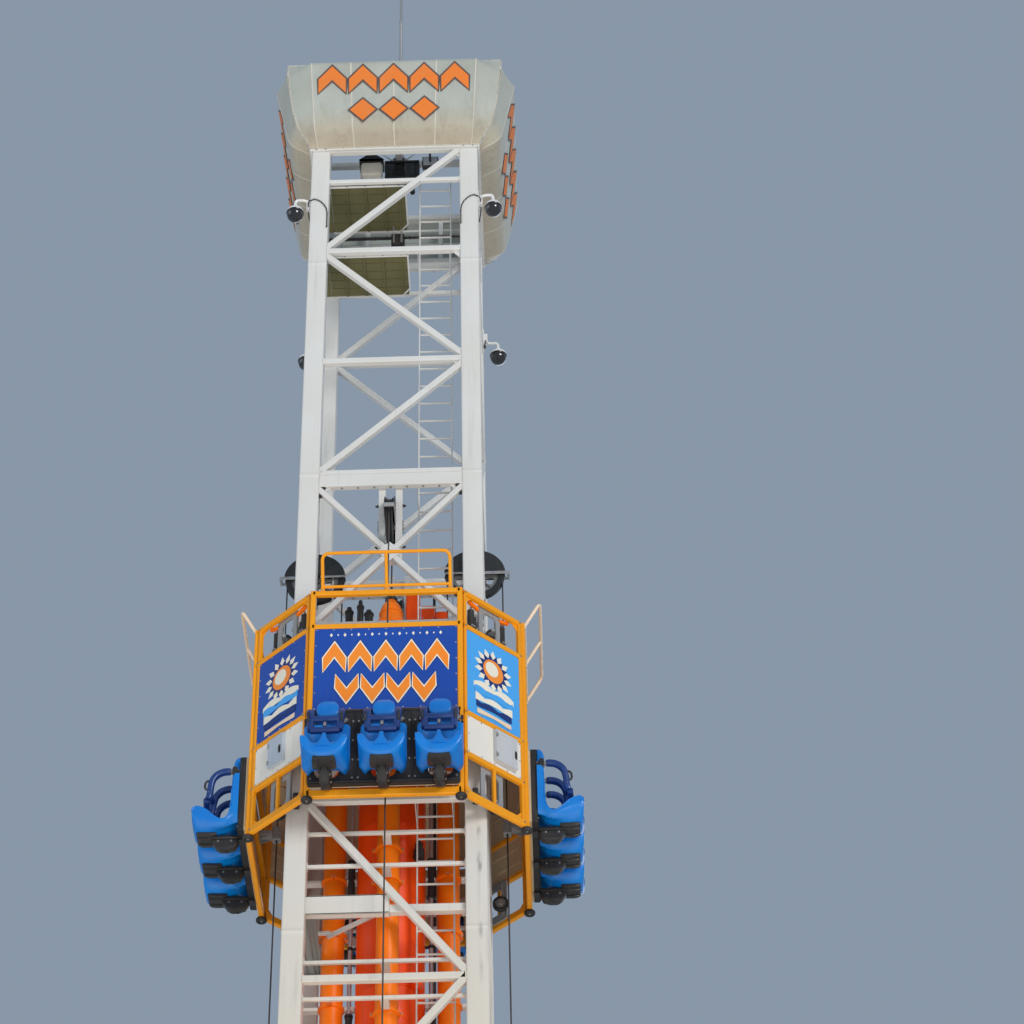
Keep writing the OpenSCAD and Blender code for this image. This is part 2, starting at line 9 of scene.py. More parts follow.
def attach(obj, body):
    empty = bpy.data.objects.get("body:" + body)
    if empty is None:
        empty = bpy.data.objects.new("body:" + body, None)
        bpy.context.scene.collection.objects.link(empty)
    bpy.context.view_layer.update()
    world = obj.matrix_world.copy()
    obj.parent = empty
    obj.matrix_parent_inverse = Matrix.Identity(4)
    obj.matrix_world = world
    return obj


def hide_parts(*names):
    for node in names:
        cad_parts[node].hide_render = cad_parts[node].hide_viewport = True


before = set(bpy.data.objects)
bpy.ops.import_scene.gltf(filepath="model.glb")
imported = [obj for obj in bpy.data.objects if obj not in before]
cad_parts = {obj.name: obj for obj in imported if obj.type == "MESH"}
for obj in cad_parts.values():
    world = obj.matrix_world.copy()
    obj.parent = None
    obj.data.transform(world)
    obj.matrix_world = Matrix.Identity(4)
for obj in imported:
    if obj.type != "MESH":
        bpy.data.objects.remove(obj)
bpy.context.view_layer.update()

random.seed(7)
scene = bpy.context.scene

# ---------------------------------------------------------------- camera
# a camera on the ground in front of the tower, looking steeply up
EYE = Vector((1.60, -26.43, 1.61))
PITCH, YAW, ROLL = math.radians(40.38), math.radians(-0.43), math.radians(-1.32)
fwd = Vector((math.sin(YAW) * math.cos(PITCH), math.cos(YAW) * math.cos(PITCH), math.sin(PITCH)))
right0 = Vector((math.cos(YAW), -math.sin(YAW), 0))
up0 = right0.cross(fwd)
right = math.cos(ROLL) * right0 + math.sin(ROLL) * up0
up = -math.sin(ROLL) * right0 + math.cos(ROLL) * up0
cam_data = bpy.data.cameras.new("camera")
cam_data.sensor_width = 36
cam_data.lens = 2882 / 1024 * 36
cam_data.clip_start, cam_data.clip_end = 0.1, 500
cam = bpy.data.objects.new("camera", cam_data)
scene.collection.objects.link(cam)
m = Matrix((right, up, -fwd)).transposed().to_4x4()
m.translation = EYE
cam.matrix_world = m
scene.camera = cam

# ---------------------------------------------------------------- lights and floor
scene.view_settings.view_transform = "Standard"
world = bpy.data.worlds.new("studio")
scene.world = world
world.use_nodes = True
world.node_tree.nodes["Background"].inputs[0].default_value = (0.50, 0.62, 0.78, 1)
world.node_tree.nodes["Background"].inputs[1].default_value = 0.50


def sun(name, energy, angle, direction, color=(1, 1, 1)):
    d = bpy.data.lights.new(name, "SUN")
    d.energy, d.angle, d.color = energy, math.radians(angle), color
    o = bpy.data.objects.new(name, d)
    o.rotation_mode = "QUATERNION"
    o.rotation_quaternion = Vector(direction).to_track_quat("-Z", "Y")
    scene.collection.objects.link(o)


sun("key", 1.55, 22, (-0.50, 0.84, -0.20), (1.0, 0.97, 0.92))
sun("fill", 0.35, 40, (0.7, 0.3, -0.2), (0.9, 0.95, 1.0))
sun("back", 0.4, 40, (-0.2, -0.9, -0.3), (0.92, 0.96, 1.0))
sun("bounce", 2.3, 70, (0.05, 0.62, 0.78), (1.0, 0.90, 0.76))

# ---------------------------------------------------------------- mesh code
Z90 = [Matrix.Rotation(math.radians(90 * k), 4, "Z") for k in range(4)]
D45 = [Matrix.Rotation(math.radians(45 + 90 * k), 4, "Z") for k in range(4)]
ID = Matrix.Identity(4)


def V(*a):
    return Vector(a)


class Mesh:
    """Gathers vertices and faces in the row frame; each added shape passes through the current matrix."""

    def __init__(self):
        self.v, self.f, self.mi = [], [], []
        self.M = ID
        self.mat = 0

    def add(self, verts, faces):
        b = len(self.v)
        M = self.M
        flip = M.determinant() < 0
        self.v.extend([M @ Vector(p) for p in verts])
        for f in faces:
            g = [b + i for i in f]
            self.f.append(g[::-1] if flip else g)
            self.mi.append(self.mat)

    def box(self, lo, hi, c=0.0):
        """A box with chamfered edges."""
        lo, hi = Vector(lo), Vector(hi)
        c = min(c, *[(hi[i] - lo[i]) * 0.45 for i in range(3)])
        if c <= 0:
            vs = [V(x, y, z) for z in (lo.z, hi.z) for y in (lo.y, hi.y) for x in (lo.x, hi.x)]
            self.add(vs, [(0, 2, 3, 1), (4, 5, 7, 6), (0, 1, 5, 4), (2, 6, 7, 3), (0, 4, 6, 2), (1, 3, 7, 5)])
            return
        vs, idx = [], {}
        for sx in (0, 1):
            for sy in (0, 1):
                for sz in (0, 1):
                    s = (sx, sy, sz)
                    for a in range(3):
                        p = [0, 0, 0]
                        for i in range(3):
                            e = (lo[i], hi[i])[s[i]]
                            p[i] = e if i == a else e + (c if s[i] == 0 else -c)
                        idx[(s, a)] = len(vs)
                        vs.append(V(*p))
        fs = []
        for a in range(3):
            b, d = (a + 1) % 3, (a + 2) % 3
            for sa in (0, 1):
                q = []
                for sb, sd in ((0, 0), (1, 0), (1, 1), (0, 1)):
                    s = [0, 0, 0]
                    s[a], s[b], s[d] = sa, sb, sd
                    q.append(idx[(tuple(s), a)])
                fs.append(q if sa else q[::-1])
            # edges along axis a
            for sb in (0, 1):
                for sd in (0, 1):
                    s0, s1 = [0, 0, 0], [0, 0, 0]
                    s0[a], s1[a] = 0, 1
                    s0[b] = s1[b] = sb
                    s0[d] = s1[d] = sd
                    q = [idx[(tuple(s0), b)], idx[(tuple(s1), b)], idx[(tuple(s1), d)], idx[(tuple(s0), d)]]
                    fs.append(q if sb != sd else q[::-1])
        for sx in (0, 1):
            for sy in (0, 1):
                for sz in (0, 1):
                    s = (sx, sy, sz)
                    q = [idx[(s, 0)], idx[(s, 1)], idx[(s, 2)]]
                    fs.append(q if (sx + sy + sz) % 2 else q[::-1])
        self.add(vs, fs)

    def loft(self, rings, caps=True, closed=True):
        """Rings of the same number of points, joined in order."""
        n = len(rings[0])
        vs = [p for r in rings for p in r]
        fs = []
        for i in range(len(rings) - 1):
            for j in range(n if closed else n - 1):
                k = (j + 1) % n
                fs.append((i * n + j, i * n + k, (i + 1) * n + k, (i + 1) * n + j))
        if caps:
            fs.append(tuple(range(n))[::-1])
            fs.append(tuple((len(rings) - 1) * n + j for j in range(n)))
        self.add(vs, fs)

    def rod(self, p, q, r, n=12, r2=None, caps=True):
        p, q = Vector(p), Vector(q)
        r2 = r if r2 is None else r2
        z = (q - p).normalized()
        x = z.orthogonal().normalized()
        y = z.cross(x)
        rings = []
        for c, rr in ((p, r), (q, r2)):
            rings.append([c + x * (rr * math.cos(2 * math.pi * j / n)) + y * (rr * math.sin(2 * math.pi * j / n)) for j in range(n)])
        self.loft(rings, caps)

    def tube(self, pts, r, n=8, closed=False, caps=True, up=None, sq=None):
        """A round tube, or with sq=(w, h, k) a rounded-rectangle one, swept along points."""
        pts = [Vector(p) for p in pts]
        N = len(pts)
        rr = r if isinstance(r, (list, tuple)) else [r] * N
        tans = []
        for i in range(N):
            a = pts[(i - 1) % N] if closed or i > 0 else pts[i]
            b = pts[(i + 1) % N] if closed or i < N - 1 else pts[i]
            tans.append((b - a).normalized())
        x = (Vector(up) if up else tans[0].orthogonal()).normalized()
        rings = []
        for i in range(N):
            t = tans[i]
            x = (x - t * x.dot(t))
            x = x.normalized() if x.length > 1e-6 else t.orthogonal().normalized()
            y = t.cross(x)
            ring = []
            for j in range(n):
                a = 2 * math.pi * (j + 0.5) / n
                ca, sa = math.cos(a), math.sin(a)
                if sq:
                    k = sq[2]
                    ex = math.copysign(abs(ca) ** k, ca) * sq[0] / 2
                    ey = math.copysign(abs(sa) ** k, sa) * sq[1] / 2
                    ring.append(pts[i] + x * ex * rr[i] + y * ey * rr[i])
                else:
                    ring.append(pts[i] + x * ca * rr[i] + y * sa * rr[i])
            rings.append(ring)
        if closed:
            rings.append(rings[0])
            self.loft(rings, False)
        else:
            self.loft(rings, caps)

    def rev(self, prof, n=32, M=None, closed=False):
        """Profile of (radius, height) turned about Z, then placed by M."""
        M = M or ID
        rings = []
        for j in range(n):
            a = 2 * math.pi * j / n
            rings.append([M @ V(r * math.cos(a), r * math.sin(a), z) for r, z in prof])
        rings.append(rings[0])
        k = len(prof)
        vs = [p for r in rings[:-1] for p in r]
        fs = []
        for j in range(n):
            j2 = (j + 1) % n
            for i in range(k if closed else k - 1):
                i2 = (i + 1) % k
                fs.append((j * k + i, j2 * k + i, j2 * k + i2, j * k + i2))
        self.add(vs, fs)

    def extr(self, poly, a, b, place):
        """A flat polygon (u, v) extruded from a to b; place(u, v, w) gives the point."""
        n = len(poly)
        vs = [place(u, v, a) for u, v in poly] + [place(u, v, b) for u, v in poly]
        # winding is settled afterwards by recalculating normals
        fs = [tuple(range(n))[::-1], tuple(range(n, 2 * n))]
        for i in range(n):
            j = (i + 1) % n
            fs.append((i, j, n + j, n + i))
        self.add(vs, fs)

    def bar(self, p, q, w, h, side, c=0.006, cut=None):
        """A rectangular tube from p to q; side is the direction of its width w; cut = (axis, low, high) trims its ends on planes."""
        p, q, side = Vector(p), Vector(q), Vector(side).normalized()
        t = (q - p).normalized()
        n = t.cross(side).normalized()
        sec = [(-w / 2 + c, -h / 2), (w / 2 - c, -h / 2), (w / 2, -h / 2 + c), (w / 2, h / 2 - c), (w / 2 - c, h / 2), (-w / 2 + c, h / 2), (-w / 2, h / 2 - c), (-w / 2, -h / 2 + c)]
        rings = []
        for e, base in enumerate((p, q)):
            ring = []
            for a, b in sec:
                o = base + side * a + n * b
                if cut:
                    ax, lo, hi = cut
                    goal = lo if (base[ax] < (p[ax] + q[ax]) / 2) else hi
                    o = o + t * ((goal - o[ax]) / t[ax])
                ring.append(o)
            rings.append(ring)
        self.loft(rings)

    def bolt(self, p, d, r=0.014, h=0.014):
        """A hexagon head on a washer, standing along d."""
        p, d = Vector(p), Vector(d).normalized()
        self.rod(p, p + d * 0.003, r * 1.35, 12)
        self.rod(p + d * 0.003, p + d * (h + 0.003), r, 6)


LOOKS = {}


def mat_of(name):
    return LOOKS[name]


def make(name, mb, mats, body, bevel=0.0, replaces=(), angle=35, subsurf=0, seg=2, recalc=True, keep=False):
    me = bpy.data.meshes.new(name)
    me.from_pydata([tuple(v) for v in mb.v], [], mb.f)
    for mt in mats:
        me.materials.append(mat_of(mt))
    me.polygons.foreach_set("material_index", mb.mi)
    if recalc:
        bm = bmesh.new()
        bm.from_mesh(me)
        bmesh.ops.recalc_face_normals(bm, faces=bm.faces)
        bm.to_mesh(me)
        bm.free()
    me.polygons.foreach_set("use_smooth", [True] * len(me.polygons))
    me.set_sharp_from_angle(angle=math.radians(angle))
    me.update()
    o = bpy.data.objects.new(name, me)
    scene.collection.objects.link(o)
    if bevel:
        b = o.modifiers.new("edge", "BEVEL")
        b.width, b.segments, b.limit_method, b.angle_limit = bevel, seg, "ANGLE", math.radians(38)
        b.harden_normals = True
    if subsurf:
        s = o.modifiers.new("round", "SUBSURF")
        s.levels = s.render_levels = subsurf
    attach(o, body)
    if replaces:
        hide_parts(*((replaces,) if isinstance(replaces, str) else replaces))
    return o


# ---------------------------------------------------------------- materials
def new_mat(name):
    mt = bpy.data.materials.new("look_" + name)
    LOOKS[name] = mt
    mt.use_nodes = True
    nt = mt.node_tree
    b = nt.nodes["Principled BSDF"]
    return mt, nt, b


def noise(nt, scale, stretch=(1, 1, 1), detail=4, rough=0.55, offset=(0, 0, 0)):
    tc = nt.nodes.new("ShaderNodeTexCoord")
    mp = nt.nodes.new("ShaderNodeMapping")
    mp.inputs["Scale"].default_value = stretch
    mp.inputs["Location"].default_value = offset
    nz = nt.nodes.new("ShaderNodeTexNoise")
    nz.inputs["Scale"].default_value = scale
    nz.inputs["Detail"].default_value = detail
    nz.inputs["Roughness"].default_value = rough
    nt.links.new(tc.outputs["Object"], mp.inputs["Vector"])
    nt.links.new(mp.outputs["Vector"], nz.inputs["Vector"])
    return nz.outputs["Fac"]


def ramp(nt, fac, a, b, lo=(0, 0, 0, 1), hi=(1, 1, 1, 1)):
    r = nt.nodes.new("ShaderNodeValToRGB")
    r.color_ramp.elements[0].position, r.color_ramp.elements[1].position = a, b
    r.color_ramp.elements[0].color, r.color_ramp.elements[1].color = lo, hi
    nt.links.new(fac, r.inputs["Fac"])
    return r.outputs["Color"]


def mix(nt, fac, a, b, mode="MIX"):
    n = nt.nodes.new("ShaderNodeMix")
    n.data_type, n.blend_type = "RGBA", mode
    for s, val in ((n.inputs[0], fac), (n.inputs[6], a), (n.inputs[7], b)):
        if hasattr(val, "is_linked") or hasattr(val, "links"):
            nt.links.new(val, s)
        elif isinstance(val, (int, float)):
            s.default_value = val
        else:
            s.default_value = (*val[:3], 1)
    return n.outputs[2]


def scale_fac(nt, fac, k):
    n = nt.nodes.new("ShaderNodeMath")
    n.operation = "MULTIPLY"
    nt.links.new(fac, n.inputs[0])
    n.inputs[1].default_value = k
    return n.outputs[0]


def bump(nt, b, height, strength, distance=0.002):
    bp = nt.nodes.new("ShaderNodeBump")
    bp.inputs["Strength"].default_value = strength
    bp.inputs["Distance"].default_value = distance
    nt.links.new(height, bp.inputs["Height"])
    nt.links.new(bp.outputs["Normal"], b.inputs["Normal"])


def rough_noise(nt, b, fac, lo, hi):
    n = nt.nodes.new("ShaderNodeMapRange")
    n.inputs["To Min"].default_value, n.inputs["To Max"].default_value = lo, hi
    nt.links.new(fac, n.inputs["Value"])
    nt.links.new(n.outputs["Result"], b.inputs["Roughness"])


def paint(name, color, rough=0.35, tint=None, tint_k=0.35, streak=None, streak_k=0.5, speck=None, speck_k=0.6, coat=0.15, metallic=0.0, grain=0.05, low=None, smudges=()):
    """Painted metal: soft colour drift, rain streaks down its height, and small chips or specks of rust."""
    mt, nt, b = new_mat(name)
    col = mix(nt, scale_fac(nt, ramp(nt, noise(nt, 1.6, detail=5), 0.35, 0.7), tint_k), color, tint or tuple(c * 0.8 for c in color))
    if low:      # a warmer tone towards the ground
        tone, z0, z1, k = low
        tc = nt.nodes.new("ShaderNodeTexCoord")
        sp = nt.nodes.new("ShaderNodeSeparateXYZ")
        mr = nt.nodes.new("ShaderNodeMapRange")
        nt.links.new(tc.outputs["Object"], sp.inputs[0])
        nt.links.new(sp.outputs["Z"], mr.inputs["Value"])
        mr.inputs["From Min"].default_value, mr.inputs["From Max"].default_value = z0, z1
        mr.inputs["To Min"].default_value, mr.inputs["To Max"].default_value = k, 0.0
        col = mix(nt, mr.outputs["Result"], col, tone)
    for (px, py, pz), (rx, ry, rz), k in smudges:      # a few scuffed places
        tc = nt.nodes.new("ShaderNodeTexCoord")
        mp = nt.nodes.new("ShaderNodeMapping")
        mp.vector_type = "TEXTURE"
        mp.inputs["Location"].default_value, mp.inputs["Scale"].default_value = (px, py, pz), (rx, ry, rz)
        gr = nt.nodes.new("ShaderNodeTexGradient")
        gr.gradient_type = "SPHERICAL"
        nt.links.new(tc.outputs["Object"], mp.inputs["Vector"])
        nt.links.new(mp.outputs["Vector"], gr.inputs["Vector"])
        both = nt.nodes.new("ShaderNodeMath")
        both.operation = "MULTIPLY"
        nt.links.new(ramp(nt, gr.outputs["Fac"], 0.0, 0.7), both.inputs[0])
        nt.links.new(ramp(nt, noise(nt, 22, stretch=(1, 1, 0.25), detail=5), 0.35, 0.6), both.inputs[1])
        col = mix(nt, scale_fac(nt, both.outputs[0], k), col, (0.20, 0.20, 0.205))
    if streak:
        s = ramp(nt, noise(nt, 1.0, stretch=(16, 16, 0.55), detail=7, rough=0.7), 0.52, 0.72)
        g = ramp(nt, noise(nt, 0.9, detail=3, offset=(3, 1, 7)), 0.42, 0.62)
        both = nt.nodes.new("ShaderNodeMath")
        both.operation = "MULTIPLY"
        nt.links.new(s, both.inputs[0])
        nt.links.new(g, both.inputs[1])
        col = mix(nt, scale_fac(nt, both.outputs[0], streak_k), col, streak)
    if speck:
        s = ramp(nt, noise(nt, 38, detail=6, rough=0.75), 0.66, 0.72)
        g = ramp(nt, noise(nt, 1.3, detail=2, offset=(9, 4, 2)), 0.5, 0.68)
        both = nt.nodes.new("ShaderNodeMath")
        both.operation = "MULTIPLY"
        nt.links.new(s, both.inputs[0])
        nt.links.new(g, both.inputs[1])
        col = mix(nt, scale_fac(nt, both.outputs[0], speck_k), col, speck)
    nt.links.new(col, b.inputs["Base Color"])
    rough_noise(nt, b, noise(nt, 5, detail=6), rough * 0.75, rough * 1.35)
    bump(nt, b, noise(nt, 160, detail=2), grain, 0.0015)
    b.inputs["Coat Weight"].default_value = coat
    b.inputs["Coat Roughness"].default_value = 0.18
    b.inputs["Metallic"].default_value = metallic
    b.inputs["Specular IOR Level"].default_value = 0.25
    return mt


paint("tower_white", (0.66, 0.67, 0.668), 0.42, tint=(0.60, 0.585, 0.54), tint_k=0.4, streak=(0.36, 0.35, 0.32), streak_k=0.38, speck=(0.35, 0.16, 0.06), speck_k=0.55,
      low=((0.64, 0.56, 0.43), 16.0, 20.2, 0.55), smudges=(((0.985, -1.07, 18.75), (0.035, 0.05, 0.10), 0.8), ((0.985, -1.07, 18.38), (0.035, 0.05, 0.16), 0.9), ((0.99, -1.07, 17.55), (0.03, 0.05, 0.12), 0.5), ((0.99, -1.07, 17.1), (0.028, 0.05, 0.2), 0.45)))
paint("tower_shade", (0.66, 0.67, 0.67), 0.45, tint=(0.55, 0.54, 0.50), streak=(0.30, 0.29, 0.27), streak_k=0.45, speck=(0.33, 0.15, 0.06))
paint("frame_yellow", (0.84, 0.345, 0.010), 0.38, tint=(0.80, 0.28, 0.008), tint_k=0.45, streak=(0.30, 0.15, 0.03), streak_k=0.3, speck=(0.25, 0.10, 0.04), coat=0.03)
paint("hoop_pale", (0.84, 0.62, 0.42), 0.32, tint=(0.86, 0.74, 0.62), tint_k=0.6, streak=(0.36, 0.22, 0.12), streak_k=0.3, speck=(0.3, 0.12, 0.05), coat=0.3)
paint("tank_red", (0.97, 0.072, 0.001), 0.38, tint=(0.97, 0.11, 0.002), tint_k=0.5, streak=(0.30, 0.05, 0.01), streak_k=0.35, speck=(0.12, 0.05, 0.03), coat=0.03)
paint("cylinder_orange", (0.98, 0.185, 0.002), 0.40, tint=(0.98, 0.235, 0.004), tint_k=0.55, streak=(0.42, 0.09, 0.01), streak_k=0.3, speck=(0.15, 0.06, 0.03), coat=0.04)
paint("charcoal", (0.020, 0.023, 0.026), 0.44, tint=(0.045, 0.048, 0.052), tint_k=0.6, streak=(0.12, 0.12, 0.115), streak_k=0.35, speck=(0.22, 0.11, 0.06), coat=0.1)
paint("disc_grey", (0.22, 0.225, 0.235), 0.40, tint=(0.13, 0.135, 0.14), tint_k=0.7, streak=(0.08, 0.07, 0.06), streak_k=0.5, speck=(0.25, 0.11, 0.05), coat=0.1)
paint("bracket_grey", (0.30, 0.315, 0.33), 0.42, tint=(0.2, 0.21, 0.22), tint_k=0.5, streak=(0.12, 0.11, 0.1), streak_k=0.4, speck=(0.28, 0.12, 0.05))
paint("bracket_grey_light", (0.50, 0.52, 0.55), 0.38, tint=(0.58, 0.60, 0.63), tint_k=0.5, streak=(0.28, 0.28, 0.28), streak_k=0.4, coat=0.2)
paint("galvanised", (0.42, 0.43, 0.44), 0.36, tint=(0.52, 0.53, 0.55), tint_k=0.6, streak=(0.25, 0.24, 0.22), speck=(0.3, 0.13, 0.06), metallic=0.7, coat=0)
paint("bolt_zinc", (0.45, 0.44, 0.42), 0.34, tint=(0.30, 0.28, 0.25), tint_k=0.7, metallic=0.8, coat=0, speck=(0.32, 0.14, 0.05), speck_k=0.8)
paint("black_paint", (0.020, 0.020, 0.022), 0.40, tint=(0.045, 0.044, 0.043), tint_k=0.6, streak=(0.12, 0.115, 0.11), streak_k=0.3, coat=0.15)
paint("board_black", (0.014, 0.014, 0.016), 0.48, tint=(0.05, 0.05, 0.052), tint_k=0.5, streak=(0.13, 0.125, 0.12), streak_k=0.25, coat=0.05, grain=0.12)
paint("deck_olive", (0.122, 0.116, 0.052), 0.62, tint=(0.172, 0.162, 0.076), tint_k=0.8, streak=(0.075, 0.065, 0.032), streak_k=0.4, speck=(0.22, 0.10, 0.05), coat=0, grain=0.3)
paint("deck_grey", (0.36, 0.39, 0.37), 0.55, tint=(0.27, 0.29, 0.28), tint_k=0.6, streak=(0.15, 0.15, 0.14), speck=(0.25, 0.11, 0.05), coat=0)
paint("panel_blue", (0.012, 0.062, 0.36), 0.34, tint=(0.014, 0.085, 0.43), tint_k=0.5, streak=(0.05, 0.10, 0.24), streak_k=0.35, coat=0.15)
paint("panel_dark_blue", (0.008, 0.028, 0.16), 0.34, tint=(0.010, 0.04, 0.20), tint_k=0.5, coat=0.15)
# light blue: the print colour of the waves, and also the face of the right-hand corner panels, made lighter as painted
# light on the side the light falls on
paint("light_blue_print_and_painted_lit_panel", (0.06, 0.36, 0.84), 0.34, tint=(0.08, 0.42, 0.88), tint_k=0.5, coat=0.15)
paint("panel_white", (0.82, 0.80, 0.74), 0.34, tint=(0.74, 0.70, 0.62), tint_k=0.55, streak=(0.42, 0.38, 0.32), streak_k=0.4, speck=(0.3, 0.15, 0.07), coat=0.3)
paint("panel_beige", (0.62, 0.50, 0.33), 0.5, tint=(0.48, 0.38, 0.25), tint_k=0.6, streak=(0.25, 0.19, 0.12), streak_k=0.5, coat=0.1)
paint("box_blue_grey", (0.40, 0.47, 0.56), 0.36, tint=(0.50, 0.55, 0.62), tint_k=0.5, streak=(0.22, 0.24, 0.27), streak_k=0.4, coat=0.25)
paint("motif_orange", (0.90, 0.25, 0.02), 0.30, tint=(0.85, 0.33, 0.05), tint_k=0.4, coat=0.4)
paint("motif_cream", (0.86, 0.82, 0.70), 0.30, tint=(0.80, 0.74, 0.60), tint_k=0.4, coat=0.4)
paint("motif_outline", (0.035, 0.03, 0.05), 0.35, tint=(0.06, 0.05, 0.07), tint_k=0.4, coat=0.3)
paint("print_orange", (0.76, 0.20, 0.03), 0.5, tint=(0.66, 0.20, 0.05), tint_k=0.5, streak=(0.55, 0.30, 0.18), streak_k=0.35, coat=0.05)
paint("print_dark", (0.10, 0.07, 0.07), 0.5, tint=(0.16, 0.10, 0.08), tint_k=0.5, coat=0.05)


def plastic(name, color, rough, tint, coat=0.5, grain=0.05, dirt=(0.05, 0.05, 0.05), dirt_k=0.25, coat_rough=0.08):
    """Moulded plastic or gel-coat: slight colour drift, a faint orange-peel, dust in patches."""
    mt, nt, b = new_mat(name)
    col = mix(nt, ramp(nt, noise(nt, 3.0, detail=4), 0.38, 0.66), color, tint)
    col = mix(nt, scale_fac(nt, ramp(nt, noise(nt, 14, detail=8, rough=0.7), 0.55, 0.75), dirt_k), col, dirt)
    nt.links.new(col, b.inputs["Base Color"])
    rough_noise(nt, b, noise(nt, 9, detail=6), rough * 0.7, rough * 1.4)
    bump(nt, b, noise(nt, 90, detail=3), grain, 0.001)
    b.inputs["Coat Weight"].default_value = coat
    b.inputs["Coat Roughness"].default_value = coat_rough
    return mt


plastic("seat_azure", (0.000, 0.165, 0.60), 0.32, (0.000, 0.20, 0.66), coat=0.12, dirt=(0.01, 0.08, 0.22), dirt_k=0.3)
plastic("seat_navy", (0.006, 0.022, 0.10), 0.34, (0.008, 0.032, 0.14), coat=0.2)
plastic("restraint_navy", (0.006, 0.030, 0.15), 0.36, (0.010, 0.045, 0.20), coat=0.2)
plastic("rubber_black", (0.016, 0.016, 0.017), 0.62, (0.03, 0.03, 0.031), coat=0.0, grain=0.25, dirt=(0.14, 0.13, 0.12), dirt_k=0.3)
plastic("dome_black", (0.008, 0.008, 0.010), 0.08, (0.012, 0.012, 0.014), coat=1.0, grain=0.0, coat_rough=0.03, dirt_k=0.05)
plastic("cap_white", (0.78, 0.79, 0.80), 0.3, (0.70, 0.71, 0.71), coat=0.4, dirt=(0.4, 0.38, 0.34), dirt_k=0.4)
plastic("lamp_lens", (0.55, 0.58, 0.60), 0.12, (0.42, 0.45, 0.48), coat=1.0)


def vinyl():
    """Stretched coated fabric: a fine weave by bump, dirt low down and along the rain's path."""
    mt, nt, b = new_mat("cover_vinyl")
    col = mix(nt, ramp(nt, noise(nt, 1.2, detail=5), 0.35, 0.7), (0.415, 0.450, 0.415), (0.335, 0.358, 0.326))
    st = ramp(nt, noise(nt, 1.0, stretch=(9, 9, 0.8), detail=7, rough=0.7), 0.50, 0.70)
    tc = nt.nodes.new("ShaderNodeTexCoord")
    sx = nt.nodes.new("ShaderNodeSeparateXYZ")
    nt.links.new(tc.outputs["Object"], sx.inputs[0])
    mr = nt.nodes.new("ShaderNodeMapRange")
    mr.inputs["From Min"].default_value, mr.inputs["From Max"].default_value = 29.45, 30.1
    mr.inputs["To Min"].default_value, mr.inputs["To Max"].default_value = 0.75, 0.12
    nt.links.new(sx.outputs["Z"], mr.inputs["Value"])
    mm = nt.nodes.new("ShaderNodeMath")
    mm.operation = "MULTIPLY"
    nt.links.new(st, mm.inputs[0])
    nt.links.new(mr.outputs["Result"], mm.inputs[1])
    col = mix(nt, mm.outputs[0], col, (0.22, 0.215, 0.185))
    lowz = nt.nodes.new("ShaderNodeMapRange")
    lowz.inputs["From Min"].default_value, lowz.inputs["From Max"].default_value = 29.42, 29.85
    lowz.inputs["To Min"].default_value, lowz.inputs["To Max"].default_value = 0.6, 0.0
    nt.links.new(sx.outputs["Z"], lowz.inputs["Value"])
    col = mix(nt, lowz.outputs["Result"], col, (0.44, 0.34, 0.22))
    nt.links.new(col, b.inputs["Base Color"])
    rough_noise(nt, b, noise(nt, 6, detail=5), 0.38, 0.62)
    w1 = nt.nodes.new("ShaderNodeTexWave")
    w1.wave_type, w1.bands_direction = "BANDS", "Z"
    w1.inputs["Scale"].default_value = 180
    w2 = nt.nodes.new("ShaderNodeTexWave")
    w2.wave_type, w2.bands_direction = "BANDS", "DIAGONAL"
    w2.inputs["Scale"].default_value = 180
    nt.links.new(tc.outputs["Object"], w1.inputs["Vector"])
    nt.links.new(tc.outputs["Object"], w2.inputs["Vector"])
    ad = nt.nodes.new("ShaderNodeMath")
    nt.links.new(w1.outputs["Fac"], ad.inputs[0])
    nt.links.new(w2.outputs["Fac"], ad.inputs[1])
    bump(nt, b, ad.outputs[0], 0.12, 0.0008)
    b.inputs["Sheen Weight"].default_value = 0.15
    b.inputs["Coat Weight"].default_value = 0.12
    return mt


vinyl()


def rope():
    """Greased steel wire rope: strands laid at a slant, drawn by bump."""
    mt, nt, b = new_mat("wire_rope")
    tc = nt.nodes.new("ShaderNodeTexCoord")
    w = nt.nodes.new("ShaderNodeTexWave")
    w.wave_type, w.bands_direction = "BANDS", "DIAGONAL"
    w.inputs["Scale"].default_value = 22
    w.inputs["Distortion"].default_value = 0.4
    nt.links.new(tc.outputs["Object"], w.inputs["Vector"])
    col = mix(nt, w.outputs["Fac"], (0.025, 0.025, 0.027), (0.10, 0.10, 0.105))
    col = mix(nt, scale_fac(nt, ramp(nt, noise(nt, 2, detail=5), 0.5, 0.7), 0.5), col, (0.10, 0.06, 0.035))
    nt.links.new(col, b.inputs["Base Color"])
    rough_noise(nt, b, noise(nt, 30), 0.35, 0.6)
    bump(nt, b, w.outputs["Fac"], 0.6, 0.002)
    b.inputs["Metallic"].default_value = 0.5
    return mt


rope()
paint("cover_seam", (0.60, 0.58, 0.52), 0.5, tint=(0.45, 0.42, 0.35), tint_k=0.6, streak=(0.30, 0.28, 0.22), streak_k=0.5, coat=0.05)
paint("floor_pale", (0.72, 0.72, 0.71), 0.8, tint=(0.68, 0.68, 0.67), tint_k=0.3, coat=0)

# ---------------------------------------------------------------- sizes in metres
G = 19.0                    # bottom rail of the ring at rest
T, COL, CC, TI = 1.07, 0.235, 0.9525, 0.835
HZ = G + 4.775              # splice beam
TOWER_H = 30.64
NLOW = 8
ZL0 = G - 1.97
LOWP = (ZL0 - 0.33) / NLOW
CYL = 0.62                  # axis of an air cylinder
RA, RB = 0.813, 1.49        # ring: half length and distance of a long side
DG = (RA + RB) / math.sqrt(2)
DE = (RB - RA) / math.sqrt(2) - 0.03 * 1.4143 - 0.0004
SIDES = ("front", "right", "rear", "left")


